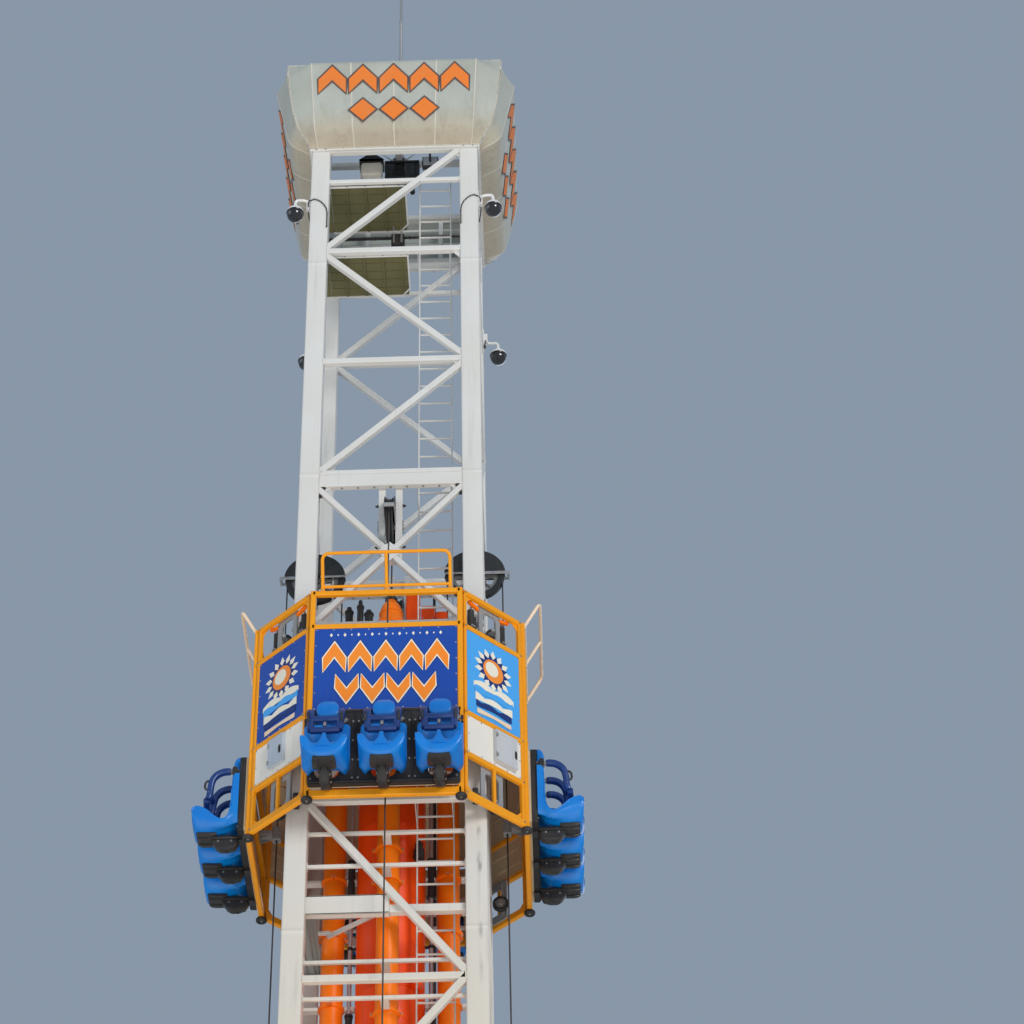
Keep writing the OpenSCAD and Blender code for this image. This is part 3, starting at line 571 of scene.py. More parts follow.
def rsect(w, h, r, n=4):
    """Rounded rectangle, counter-clockwise."""
    pts = []
    for cx_, cy_, a0 in ((w / 2 - r, h / 2 - r, 0), (-w / 2 + r, h / 2 - r, 90), (-w / 2 + r, -h / 2 + r, 180), (w / 2 - r, -h / 2 + r, 270)):
        for i in range(n + 1):
            a = math.radians(a0 + 90 * i / n)
            pts.append((cx_ + r * math.cos(a), cy_ + r * math.sin(a)))
    return pts


def xz(y0=0.0):
    """Places (u, v, w) as x, z with depth y = y0 + w."""
    return lambda u, v, w: V(u, y0 + w, v)


def xy(z0=0.0):
    return lambda u, v, w: V(u, v, z0 + w)


def yz(x0=0.0):
    return lambda u, v, w: V(x0 + w, u, v)


def circle(r, n, cx=0.0, cy=0.0, a0=0.0):
    return [(cx + r * math.cos(a0 + 2 * math.pi * i / n), cy + r * math.sin(a0 + 2 * math.pi * i / n)) for i in range(n)]


# ---------------------------------------------------------------- tower columns
mb = Mesh()
welds = [3.2, 6.8, 10.4, 14.0, 17.6, 21.2, HZ + 0.062, 27.35]
for sx in (-1, 1):
    for sy in (-1, 1):
        mb.mat = 0
        levels = [(0.04, 0.0)]
        for z in welds:
            levels += [(z - 0.05, 0.0), (z - 0.012, 0.0), (z - 0.006, 0.003), (z + 0.006, 0.003), (z + 0.012, 0.0), (z + 0.05, 0.0)]
        levels += [(TOWER_H, 0.0)]
        mb.loft([[V(sx * CC + u, sy * CC + v, z) for u, v in rsect(COL + 2 * d, COL + 2 * d, 0.02)] for z, d in levels])
        # cap plate, foot weld, gussets
        mb.box((sx * CC - 0.10, sy * CC - 0.10, TOWER_H - 0.004), (sx * CC + 0.10, sy * CC + 0.10, TOWER_H + 0.012), 0.004)
        mb.loft([[V(sx * CC + u, sy * CC + v, z) for u, v in rsect(COL + 2 * d, COL + 2 * d, 0.02)] for z, d in ((0.04, 0.012), (0.052, 0.001))])
        for off in (-0.07, 0.07):
            tri = [(0.1175, 0.04), (0.275, 0.04), (0.275, 0.06), (0.135, 0.34), (0.1175, 0.34)]
            mb.extr(tri, -0.007, 0.007, lambda u, v, w: V(sx * (CC + u), sy * CC + off + w, v))
            mb.extr(tri, -0.007, 0.007, lambda u, v, w: V(sx * CC + off + w, sy * (CC + u), v))
        # bolts in two rows of three on the column face at the splice beam
        mb.mat = 1
        for z in (HZ - 0.03, HZ + 0.15):
            for off in (-0.075, 0.0, 0.075):
                mb.bolt((sx * (CC - 0.1175), sy * CC + off, z), (-sx, 0, 0), 0.011, 0.011)
make("tower_columns_skin", mb, ["tower_white", "bolt_zinc"], "tower", replaces="tower_columns")

# base plates with their anchors
mb = Mesh()
for sx in (-1, 1):
    for sy in (-1, 1):
        mb.box((sx * CC - 0.30, sy * CC - 0.30, 0.0), (sx * CC + 0.30, sy * CC + 0.30, 0.04), 0.006)
        for x in (-0.25, 0.25):
            for y in (-0.25, 0.25):
                p = V(sx * CC + x, sy * CC + y, 0.04)
                mb.mat = 1
                mb.rod(p, p + V(0, 0, 0.006), 0.034, 20)
                mb.rod(p + V(0, 0, 0.006), p + V(0, 0, 0.032), 0.0277, 6)
                mb.rod(p + V(0, 0, 0.032), p + V(0, 0, 0.052), 0.0277, 6)
                mb.rod(p, p + V(0, 0, 0.085), 0.015, 14)
                mb.rod(p + V(0, 0, 0.085), p + V(0, 0, 0.089), 0.015, 14, r2=0.012)
                mb.mat = 0
make("base_plates_skin", mb, ["galvanised", "bolt_zinc"], "tower", replaces="base_plates")

# base frame: I-beams with stiffeners, a pad under the tank
mb = Mesh()


def ibeam(x0, x1, yc, w, z0, z1, flange=0.016, web=0.012, gap=0.55):
    mb.box((x0, yc - w / 2, z0), (x1, yc + w / 2, z0 + flange), 0.003)
    mb.box((x0, yc - w / 2, z1 - flange), (x1, yc + w / 2, z1), 0.003)
    mb.box((x0, yc - web / 2, z0 + flange), (x1, yc + web / 2, z1 - flange))
    n = max(2, int((x1 - x0) / gap))
    for i in range(n + 1):
        x = x0 + 0.006 + (x1 - x0 - 0.012) * i / n
        mb.box((x - 0.005, yc - w / 2 + 0.004, z0 + flange), (x + 0.005, yc + w / 2 - 0.004, z1 - flange))


for k in range(4):
    mb.M = Z90[k]
    ibeam(-CC + 0.30, CC - 0.30, -CC, 0.16, 0.0, 0.2)
    ibeam(-TI, -CC + 0.30, -CC, 0.16, 0.042, 0.2)
    ibeam(CC - 0.30, TI, -CC, 0.16, 0.042, 0.2)
    ibeam(0.30, CC - 0.08, 0.0, 0.18, 0.0, 0.2)
    mb.mat = 1
    for x in (-0.55, -0.35, 0.35, 0.55):
        for y in (-0.055, 0.055):
            mb.bolt((x, -CC + y, 0.2), (0, 0, 1), 0.012, 0.012)
    mb.mat = 0
mb.M = ID
mb.extr(circle(0.34, 8, a0=math.pi / 8), 0.0, 0.2, xy(0))
mb.rev([(0.30, 0.19), (0.355, 0.19), (0.355, 0.212), (0.30, 0.212)], 48, closed=True)
mb.mat = 1
for i in range(12):
    a = 2 * math.pi * i / 12
    mb.bolt((0.33 * math.cos(a), 0.33 * math.sin(a), 0.212), (0, 0, 1), 0.012, 0.012)
make("base_frame_skin", mb, ["tower_shade", "bolt_zinc"], "tower", replaces="base_frame")


# ---------------------------------------------------------------- trusses
def truss(k, m):
    mb = Mesh()
    mb.M = Z90[k] @ Matrix.Diagonal((m, 1, 1, 1))
    yc = -T + 0.04

    def hbar(z, h=0.08, d=0.08):
        mb.bar((-TI, yc, z), (TI, yc, z), h, d, (0, 0, 1), 0.008)
        for s in (-1, 1):     # weld collars
            mb.bar((s * (TI - 0.010), yc, z), (s * (TI + 0.004), yc, z), h + 0.012, d + 0.012, (0, 0, 1), 0.006)

    def diag(p, q, w=0.08, d=0.08):
        a, b = V(p[0], yc, p[1]), V(q[0], yc, q[1])
        t = (b - a).normalized()
        side = V(-t.z, 0, t.x)
        mb.bar(a, b, w, d, side, 0.008, cut=(0, -TI, TI))
        for i, e in enumerate((a, b)):     # the two pads that meet at a node differ a little
            s = 1 if e.x > 0 else -1
            hh = w / abs(t.x) / 2 + 0.006
            g = 0.0035 + 0.0012 * i
            x0, x1 = s * (TI - 0.0065 - 0.0012 * i), s * (TI + 0.003)
            mb.box((min(x0, x1), yc - d / 2 - g, e.z - hh), (max(x0, x1), yc + d / 2 + g, e.z + hh), 0.003)

    e = TI
    for z in (10.42, 8.57, 6.67):
        hbar(G + z)
    hbar(G + 9.84, 0.06, 0.06)
    diag((-e, G + 8.64), (e, G + 10.39))
    diag((-e, G + 8.49), (e, G + 6.76))
    diag((e, G + 6.58), (-e, G + 4.89))
    # splice beam in two depths with a narrow seam between them
    mb.box((-e, -T, HZ - 0.125), (e, -T + 0.08, HZ + 0.058), 0.006)
    mb.box((-e, -T + 0.002, HZ + 0.058), (e, -T + 0.078, HZ + 0.066))
    mb.box((-e, -T, HZ + 0.066), (e, -T + 0.08, HZ + 0.125), 0.006)
    # cross bracing, lug plates at its ends and a plate at the crossing
    diag((-e, G + 4.625), (e, G + 2.65), 0.07, 0.072)
    diag((e, G + 4.625), (-e, G + 2.65), 0.07, 0.072)
    mb.extr([(-0.15, G + 3.64), (0, G + 3.50), (0.15, G + 3.64), (0, G + 3.78)], -0.044, -0.037, xz(yc))
    hbar(G + 2.60)
    diag((e, G + 2.57), (-e, G + 0.28))
    hbar(G + 0.233)
    diag((-e, G + 0.19), (e, ZL0 + 0.05))
    hbar(ZL0)
    for i in range(NLOW):
        s = 1 if i % 2 == 0 else -1
        za = ZL0 - i * LOWP
        zb = za - LOWP
        diag((s * e, za - 0.01), (-s * e, zb + 0.04))
        if i < NLOW - 1:
            hbar(zb + 0.01)
    # corner plates where a diagonal meets the columns
    def gus(x, z, up_, w=0.15, h=0.17):
        s = 1 if x > 0 else -1
        mb.extr([(x, z), (x - s * w, z), (x, z + up_ * h)], -0.005, 0.005, xz(yc))
    for z in (G + 10.37, G + 8.53, G + 6.63):
        gus(e, z, -1, 0.10, 0.12)
    for s in (-1, 1):
        gus(s * e, HZ - 0.12, -1, 0.16, 0.13)
        gus(s * e, G + 2.64, 1, 0.13, 0.10)
    # bolted lugs
    mb.mat = 1
    for s in (-1, 1):
        mb.box((min(s * (e - 0.075), s * (e - 0.02)), -T + 0.006, HZ - 0.150), (max(s * (e - 0.075), s * (e - 0.02)), -T + 0.074, HZ - 0.125), 0.003)
        mb.box((min(s * (e - 0.035), s * e), -T + 0.02, HZ - 0.26), (max(s * (e - 0.035), s * e), -T + 0.06, HZ - 0.225), 0.003)
    mb.mat = 2
    for x in [-0.76 + 0.19 * i for i in range(9)]:
        mb.bolt((x, -T + 0.04, HZ - 0.125), (0, 0, -1), 0.009, 0.008)
    for s in (-1, 1):
        mb.bolt((s * 0.06, -T + 0.0, G + 3.64), (0, -1, 0), 0.010, 0.009)
    return mb


for k, m in ((0, 1), (1, 1), (2, -1), (3, 1)):
    make(SIDES[k] + "_truss_skin", truss(k, m), ["tower_white", "charcoal", "bolt_zinc"], "tower", replaces=SIDES[k] + "_truss")

# ---------------------------------------------------------------- ladder
mb = Mesh()
LX0, LX1, LY = 0.301, 0.698, -0.45
for x in (LX0, LX1):
    mb.box((x - 0.008, LY - 0.03, 0.48), (x + 0.008, LY + 0.03, 29.4), 0.003)
    for z in (6.2, 12.1, 18.0, 23.9):
        # splice plates where two lengths of rail meet
        s = 1 if x == LX0 else -1
        mb.box((x + s * 0.008 - 0.003, LY - 0.026, z - 0.09), (x + s * 0.008 + 0.004, LY + 0.026, z + 0.09), 0.002)
for i in range(100):
    z = 0.544 + 0.29 * i
    mb.rod((LX0, LY, z), (LX1, LY, z), 0.0125, 10)
mb.mat = 1
for i in range(100):
    for x, s in ((LX0 + 0.008, 1), (LX1 - 0.008, -1)):
        mb.rod((x, LY, 0.544 + 0.29 * i), (x + s * 0.003, LY, 0.544 + 0.29 * i), 0.017, 8)
mb.mat = 0
for z in (ZL0 - 7 * LOWP, ZL0 - 5 * LOWP, ZL0 - 3 * LOWP, ZL0 - LOWP, G + 0.233, HZ, G + 8.57):
    for x in (LX0, LX1):
        mb.box((x - 0.004, -T + 0.08, z - 0.014), (x + 0.004, LY - 0.018, z + 0.014), 0.002)
        mb.box((x - 0.012, -T + 0.08, z - 0.030), (x + 0.034, -T + 0.086, z + 0.030), 0.002)
        mb.mat = 1
        mb.bolt((x + 0.026, -T + 0.086, z), (0, 1, 0), 0.008, 0.007)
        mb.bolt((x + 0.004, LY - 0.04, z), (1, 0, 0), 0.007, 0.006)
        mb.mat = 0
make("ladder_skin", mb, ["tower_white", "tower_shade"], "tower", replaces="ladder")

# ---------------------------------------------------------------- air plant
mb = Mesh()
prof = []
z = 0.9
seams = [0.95 + 2.05 * i for i in range(1, 10)]
for s_ in seams:
    prof += [(0.37, z), (0.37, s_ - 0.014), (0.374, s_ - 0.006), (0.374, s_ + 0.006), (0.37, s_ + 0.014)]
    z = s_ + 0.014
prof += [(0.37, z), (0.37, 21.5)]
mb.rev(prof + [(0.358, 21.5), (0.358, 0.9)], 64, closed=True)
# lengthwise seams, staggered from course to course
last = 0.9
for i, s_ in enumerate(seams + [21.5]):
    a = math.radians(40 + 65 * i)
    mb.rod((0.3695 * math.cos(a), 0.3695 * math.sin(a), last + 0.01), (0.3695 * math.cos(a), 0.3695 * math.sin(a), s_ - 0.01), 0.005, 6)
    last = s_
# stub nozzles, capped with bolted covers
for a, z in ((45, 3.0), (135, 9.2), (225, 15.3), (315, 17.4), (45, 18.3), (135, 20.6)):
    a = math.radians(a)
    c, s = math.cos(a), math.sin(a)
    mb.rod((0.36 * c, 0.36 * s, z), (0.43 * c, 0.43 * s, z), 0.045, 20)
    mb.rod((0.43 * c, 0.43 * s, z), (0.455 * c, 0.455 * s, z), 0.07, 20)
    mb.mat = 1
    for j in range(6):
        b = 2 * math.pi * j / 6
        off = V(-s * math.cos(b) * 0.054, c * math.cos(b) * 0.054, math.sin(b) * 0.054)
        mb.bolt(V(0.455 * c, 0.455 * s, z) + off, (c, s, 0), 0.007, 0.007)
    mb.mat = 0
make("air_tank_shell_skin", mb, ["tank_red", "bolt_zinc"], "tower", replaces="air_tank_shell")

mb = Mesh()


def dome(z0, s):
    """A dished head with its straight edge; s is 1 upward, -1 downward."""
    p = [(0.37, 0.0), (0.37, 0.04 * 1)]
    for i in range(1, 13):
        a = math.radians(90 * i / 12)
        p.append((0.37 * math.cos(a) ** 0.62 if i < 12 else 0.0, 0.04 + 0.175 * math.sin(a)))
    return [(r, z0 + s * h) for r, h in p]


mb.rev([(0.0, 21.5)] + dome(21.5, 1), 64)
mb.rev([(0.0, 21.70), (0.085, 21.70), (0.085, 21.775), (0.115, 21.775), (0.115, 21.80), (0.0, 21.80)], 32)
mb.mat = 1
for i in range(8):
    a = 2 * math.pi * i / 8
    mb.bolt((0.098 * math.cos(a), 0.098 * math.sin(a), 21.80), (0, 0, 1), 0.008, 0.008)
mb.mat = 0
for i in range(4):
    a = math.radians(45 + 90 * i)
    c, s = math.cos(a), math.sin(a)
    # lifting lugs on the upper head
    mb.extr([(-0.035, 21.60), (0.035, 21.60), (0.035, 21.73), (0.018, 21.755), (-0.018, 21.755), (-0.035, 21.73)], -0.007, 0.007,
            lambda u, v, w: V(0.25 * c - s * w + c * u, 0.25 * s + c * w + s * u, v))
mb.rev([(0.0, 0.9)] + dome(0.9, -1), 64)
mb.rev([(0.305, 0.21), (0.305, 0.72), (0.30, 0.78), (0.29, 0.78), (0.29, 0.21)], 48, closed=True)
for i in range(8):
    a = 2 * math.pi * (i + 0.5) / 8
    c, s = math.cos(a), math.sin(a)
    mb.extr([(0.30, 0.212), (0.35, 0.212), (0.30, 0.34)], -0.005, 0.005, lambda u, v, w: V(c * u - s * w, s * u + c * w, v))
make("air_tank_heads_skin", mb, ["tank_red", "bolt_zinc"], "tower", replaces="air_tank_heads")

mb = Mesh()
flanges = [4.05, 7.6, 11.4, 14.9, 18.15]
for k in range(4):
    mb.M = Z90[k] @ Matrix.Translation((0, -CYL, 0))
    prof = [(0.122, 1.15)]
    for f in flanges:
        prof += [(0.122, f - 0.035), (0.127, f - 0.026), (0.152, f - 0.026), (0.155, f - 0.023), (0.155, f - 0.003), (0.150, f), (0.155, f + 0.003), (0.155, f + 0.023), (0.152, f + 0.026), (0.127, f + 0.026), (0.122, f + 0.035)]
    for f in (20.4,):
        prof += [(0.122, f - 0.02), (0.128, f - 0.015), (0.128, f + 0.015), (0.122, f + 0.02)]
    prof += [(0.122, 21.86), (0.112, 21.86), (0.112, 1.15)]
    mb.rev(prof, 40, closed=True)
    mb.mat = 1
    for f in flanges:
        for i in range(8):
            a = 2 * math.pi * (i + 0.5) / 8
            p = V(0.141 * math.cos(a), 0.141 * math.sin(a), f)
            mb.bolt(p + V(0, 0, 0.025), (0, 0, 1), 0.009, 0.009)
            mb.bolt(p - V(0, 0, 0.025), (0, 0, -1), 0.009, 0.009)
    mb.mat = 0
make("shot_cylinders_skin", mb, ["cylinder_orange", "bolt_zinc"], "tower", replaces="shot_cylinders")

mb = Mesh()
for k in range(4):
    mb.M = Z90[k] @ Matrix.Translation((0, -CYL, 21.86))
    prof = [(0.020, 0), (0.171, 0), (0.175, 0.004), (0.175, 0.026), (0.170, 0.030), (0.175, 0.034), (0.175, 0.056), (0.171, 0.060), (0.137, 0.060), (0.135, 0.066),
            (0.132, 0.185), (0.140, 0.190), (0.140, 0.206), (0.130, 0.212), (0.120, 0.27), (0.108, 0.31), (0.092, 0.338), (0.072, 0.360), (0.060, 0.372), (0.060, 0.395)]
    mb.rev(prof + [(0.020, 0.395)], 48, closed=True)
    mb.mat = 2     # dark gland on top
    mb.rev([(0.020, 0.395), (0.068, 0.395), (0.072, 0.402), (0.072, 0.436), (0.066, 0.444), (0.050, 0.450), (0.046, 0.470), (0.020, 0.470)], 32, closed=True)
    for i in range(6):
        a = 2 * math.pi * i / 6
        mb.bolt((0.058 * math.cos(a), 0.058 * math.sin(a), 0.444), (0, 0, 1), 0.006, 0.005)
    mb.mat = 1
    for i in range(12):
        a = 2 * math.pi * (i + 0.5) / 12
        mb.bolt((0.156 * math.cos(a), 0.156 * math.sin(a), 0.060), (0, 0, 1), 0.010, 0.010)
    mb.mat = 0
    mb.M = Z90[k] @ Matrix.Translation((0, -CYL, 1.15))
    mb.rev([(0.020, 0), (0.157, 0), (0.160, -0.003), (0.160, -0.037), (0.157, -0.040), (0.112, -0.046), (0.095, -0.075), (0.064, -0.105), (0.060, -0.112), (0.060, -0.15), (0.020, -0.15)], 48, closed=True)
    mb.mat = 1
    for i in range(12):
        a = 2 * math.pi * (i + 0.5) / 12
        mb.bolt((0.144 * math.cos(a), 0.144 * math.sin(a), -0.040), (0, 0, -1), 0.009, 0.009)
    mb.mat = 0
make("cylinder_heads_skin", mb, ["cylinder_orange", "bolt_zinc", "black_paint"], "tower", replaces="cylinder_heads")

# bars and bands that hold the cylinders
mb = Mesh()
for j in range(5):
    zz = G - 0.35 if j == 0 else G - 1.94 if j == 1 else G - 1.94 - (j - 1) * 2 * LOWP
    dz = 0.205 if j == 0 else 0.215
    for k in range(4):
        mb.M = Z90[k]
        for s in (-1, 1):
            z = zz + s * dz
            y0 = -T + 0.08 + 0.012
            mb.bar((-TI, y0 + 0.02, z), (TI, y0 + 0.02, z), 0.04, 0.04, (0, 0, 1), 0.005)
            for e in (-1, 1):
                mb.box((min(e * (TI - 0.01), e * TI), y0 - 0.012, z - 0.04), (max(e * (TI - 0.01), e * TI), y0 + 0.052, z + 0.04), 0.003)
            # clamp band in two halves round the cylinder
            mb.mat = 2
            for h in (-1, 1):
                arc = []
                for i in range(17):
                    a = math.radians(6 + 168 * i / 16) * h
                    arc.append(V(math.cos(a), math.sin(a), 0))
                rings = []
                for d in arc:
                    c = V(0, -CYL, z)
                    rings.append([c + d * 0.1225 + V(0, 0, -0.019), c + d * 0.137 + V(0, 0, -0.019), c + d * 0.140 + V(0, 0, -0.016), c + d * 0.140 + V(0, 0, 0.016), c + d * 0.137 + V(0, 0, 0.019), c + d * 0.1225 + V(0, 0, 0.019)])
                mb.loft(rings)
            for e in (-1, 1):      # ears of the band
                for h in (-1, 1):
                    mb.box((min(e * 0.122, e * 0.172), -CYL + min(h * 0.006, h * 0.015), z - 0.019), (max(e * 0.122, e * 0.172), -CYL + max(h * 0.006, h * 0.015), z + 0.019), 0.002)
                mb.mat = 1
                mb.bolt((e * 0.156, -CYL - 0.015, z), (0, -1, 0), 0.008, 0.008)
                mb.rod((e * 0.156, -CYL - 0.015, z), (e * 0.156, -CYL + 0.026, z), 0.006, 8)
                mb.mat = 2
            mb.mat = 0
            # radial bars: truss bar to band, band to tank
            mb.box((-0.045, -T + 0.132, z - 0.02), (0.045, -CYL - 0.138, z + 0.02), 0.004)
            mb.box((-0.045, -CYL + 0.138, z - 0.02), (0.045, -0.371, z + 0.02), 0.004)
make("cylinder_brackets_skin", mb, ["tower_white", "bolt_zinc", "cylinder_orange"], "tower", replaces="cylinder_brackets")

# ---------------------------------------------------------------- cables and sheaves
SX, SR, SZ, LZ = 0.945, 0.325, G + 4.1, 0.62
mb = Mesh()
for k in range(4):
    mb.M = Z90[k]
    pts = []
    for i in range(25):
        a = math.pi * i / 24
        pts.append(V(0, -SX + SR * math.cos(a), SZ + SR * math.sin(a)))
    for i in range(12):
        pts.append(V(0, -SX - SR, SZ + (LZ - SZ) * (i + 1) / 12))
    for i in range(1, 25):
        a = math.pi * i / 24
        pts.append(V(0, -SX - SR * math.cos(a), LZ - SR * math.sin(a)))
    for i in range(11):
        pts.append(V(0, -SX + SR, LZ + (SZ - LZ) * (i + 1) / 12))
    mb.tube(pts, 0.009, 12, closed=True, up=(1, 0, 0))
    # swaged ferrules over each gland
    mb.rod((0, -SX + SR, SZ - 0.72), (0, -SX + SR, SZ - 0.62), 0.015, 14)
make("drive_cables_skin", mb, ["wire_rope"], "tower", replaces="drive_cables", angle=60)


def sheave_mesh(mb, wz, ax, k):
    """Grooved wheel with a pierced web, a hub and an axle with lock plates."""
    base = Z90[k] @ Matrix.Translation((0, -SX, wz)) @ Matrix.Rotation(math.radians(90), 4, "Y")
    # rim, with the groove turned in
    mb.mat = 0
    g = SR - 0.011
    rim = [(0.278, -0.034), (0.284, -0.038), (0.341, -0.038), (0.345, -0.034), (0.345, -0.028)]
    for i in range(9):
        a = math.radians(-60 + 120 * i / 8)
        rim.append((g + 0.012 - 0.012 * math.cos(a), 0.013 * math.sin(a) / math.sin(math.radians(60))))
    rim += [(0.345, 0.028), (0.345, 0.034), (0.341, 0.038), (0.284, 0.038), (0.278, 0.034)]
    mb.rev(rim, 64, base, closed=True)
    # web pierced by eight round holes, made of spokes and two rings
    mb.mat = 1
    mb.rev([(0.235, -0.010), (0.280, -0.014), (0.280, 0.014), (0.235, 0.010)], 64, base, closed=True)
    mb.rev([(0.07, -0.014), (0.125, -0.012), (0.125, 0.012), (0.07, 0.014)], 48, base, closed=True)
    save = mb.M
    for i in range(8):
        mb.M = save @ base @ Matrix.Rotation(2 * math.pi * i / 8, 4, "Z")
        # a spoke with concave flanks
        poly = []
        for r, w in ((0.118, 0.046), (0.135, 0.032), (0.155, 0.023), (0.18, 0.020), (0.205, 0.025), (0.225, 0.037), (0.242, 0.062)):
            poly.append((r, w))
        poly = poly + [(r, -w) for r, w in reversed(poly)]
        mb.extr(poly, -0.010, 0.010, xy(0))
        mb.extr([(0.10, -0.003), (0.255, -0.003), (0.255, 0.003), (0.10, 0.003)], -0.026, 0.026, xy(0))
    mb.M = save
    # hub, bearing caps with screws
    mb.mat = 0
    mb.rev([(0.0, -0.040), (0.052, -0.040), (0.056, -0.038), (0.072, -0.034), (0.075, -0.030), (0.075, 0.030), (0.072, 0.034), (0.056, 0.038), (0.052, 0.040), (0.0, 0.040)], 40, base)
    mb.mat = 2
    for s in (-1, 1):
        for i in range(6):
            a = 2 * math.pi * (i + 0.5) / 6
            p = base @ V(0.063 * math.cos(a), 0.063 * math.sin(a), s * 0.036)
            mb.bolt(p, base.to_3x3() @ V(0, 0, s), 0.006, 0.005)
    mb.rev([(0.0, -ax), (0.026, -ax), (0.030, -ax + 0.004), (0.030, ax - 0.004), (0.026, ax), (0.0, ax)], 32, base)
    if ax > 0.1:
        for s in (-1, 1):
            mb.rev([(0.0, s * (ax - 0.004)), (0.020, s * (ax - 0.004)), (0.020, s * (ax + 0.0)), (0.0, s * (ax + 0.0))], 6, base)


for k in range(4):
    mb = Mesh()
    sheave_mesh(mb, SZ, 0.15, k)
    make(SIDES[k] + "_sheave_skin", mb, ["charcoal", "disc_grey", "bolt_zinc"], SIDES[k] + "_sheave", replaces=SIDES[k] + "_sheave")
mb = Mesh()
for k in range(4):
    sheave_mesh(mb, LZ, 0.06, k)
make("lower_sheaves_skin", mb, ["charcoal", "disc_grey", "bolt_zinc"], "tower", replaces="lower_sheaves")

mb = Mesh()
for k in range(4):
    mb.M = Z90[k]
    # tie between the hangers
    mb.box((-0.06, -T + 0.08, G + 3.56), (0.06, -T + 0.16, G + 3.64), 0.005)
    for s in (-1, 1):
        x0, x1 = (0.06, 0.138) if s > 0 else (-0.138, -0.06)
        # hanger made of two lengths that meet at the axle, bored for it
        y0, y1 = -T + 0.08, -T + 0.16
        prof = []
        zt = HZ + 0.11
        # side plate with a hole: two half rings of points joined into strips
        for side_ in (-1, 1):
            ring_in = [(-SX + 0.0303 * math.cos(math.radians(a)), SZ + 0.0303 * math.sin(math.radians(a))) for a in range(-90, 91, 15)]
            ring_in = [(-SX + side_ * (y + SX), z) for y, z in ring_in]
            edge = y1 if side_ > 0 else y0
            low = [(-SX, G + 3.56), (edge, G + 3.56), (edge, zt), (-SX, zt)]
            poly = low + ring_in[::-1]
            mb.extr(poly, x0, x1, yz(0))
        mb.mat = 1
        xo = s * 0.138
        # four bolts of the bearing cap on the outer face
        cap = Mesh()
        for i in range(4):
            a = math.radians(45 + 90 * i)
            y, z = -SX + 0.026 * math.cos(a) * 1.35, SZ + 0.062 * math.sin(a) * 1.35
            mb.bolt((xo, y, z), (s, 0, 0), 0.009, 0.009)
        # through bolts at the head and foot of each hanger, as in the photo
        for z in (G + 4.42, G + 3.80):
            mb.rod((s * 0.138, -T + 0.12, z), (s * 0.165, -T + 0.12, z), 0.018, 6)
            mb.rod((s * 0.165, -T + 0.12, z), (s * 0.180, -T + 0.12, z), 0.010, 10)
            mb.rod((s * 0.138, -T + 0.12, z), (s * 0.142, -T + 0.12, z), 0.026, 16)
        mb.mat = 0
        # stand of the lower sheave
        mb.box((x0, -SX - 0.045, 0.2), (x1, -SX + 0.055, LZ + 0.09), 0.005)
        mb.box((x0 + (0 if s > 0 else -0.03), -SX - 0.075, 0.2), (x1 + (0.03 if s > 0 else 0), -SX + 0.085, 0.214), 0.003)
        mb.mat = 1
        mb.bolt((s * 0.138, -SX, LZ + 0.06), (s, 0, 0), 0.010, 0.010)
        mb.mat = 0
make("sheave_posts_skin", mb, ["tower_white", "black_paint"], "tower", replaces="sheave_posts")

mb = Mesh()
for k in range(4):
    for s in (-1, 1):
        mb.M = Z90[k] @ Matrix.Translation((s * 0.054, -SX, SZ))
        # half disc with a notch for the axle, a rolled edge and a flat strap along its foot
        outer = [(0.357 * math.cos(math.radians(a)), 0.357 * math.sin(math.radians(a))) for a in [4.82 + (170.36) * i / 36 for i in range(37)]]
        inner = [(0.062 * math.cos(math.radians(a)), 0.062 * math.sin(math.radians(a))) for a in [151 - (122) * i / 12 for i in range(13)]]
        mb.mat = 0
        mb.extr(outer + inner, -0.005, 0.005, lambda u, v, w: V(w, u, v))
        mb.tube([V(0, u, v) for u, v in outer], 0.006, 8, up=(1, 0, 0))
        for a in (45, 90, 135):
            c, sn = math.cos(math.radians(a)), math.sin(math.radians(a))
            mb.tube([V(s * 0.004, c * 0.07, sn * 0.07), V(s * 0.004, c * 0.345, sn * 0.345)], 0.006, 6)
        mb.mat = 1
        mb.box((s * 0.0055 - 0.0055, -0.40, -0.012), (s * 0.0055 + 0.0055, -0.065, 0.030), 0.003)
        mb.box((s * 0.0055 - 0.0055, 0.065, 0.002), (s * 0.0055 + 0.0055, 0.356, 0.030), 0.003)
    mb.M = Z90[k] @ Matrix.Translation((0, -SX, SZ))
    # bumper block across the outer ends of the straps
    mb.box((-0.062, -0.415, -0.016), (0.062, -0.385, 0.034), 0.005)
    mb.mat = 2
    for s in (-1, 1):
        for y in (-0.33, -0.22, -0.11, 0.11, 0.22, 0.33):
            mb.bolt((s * 0.0649, y, 0.014), (s, 0, 0), 0.0065, 0.006)
make("sheave_guards_skin", mb, ["charcoal", "galvanised", "bolt_zinc"], "tower", replaces="sheave_guards")

# ---------------------------------------------------------------- platforms
def plate(mb, outer, holes, a, b, place):
    """A flat plate with holes through it; outlines are (u, v) lists."""
    from mathutils.geometry import tessellate_polygon
    loops = [outer] + list(holes)
    flat = [p for l in loops for p in l]
    tris = tessellate_polygon([[V(u, v, 0) for u, v in l] for l in loops])
    n = len(flat)
    vs = [place(u, v, a) for u, v in flat] + [place(u, v, b) for u, v in flat]
    fs = [tuple(t) for t in tris] + [tuple(n + i for i in reversed(t)) for t in tris]
    s = 0
    for l in loops:
        k = len(l)
        for i in range(k):
            j = (i + 1) % k
            fs.append((s + i, s + j, n + s + j, n + s + i))
        s += k
    mb.add(vs, fs)


mb = Mesh()
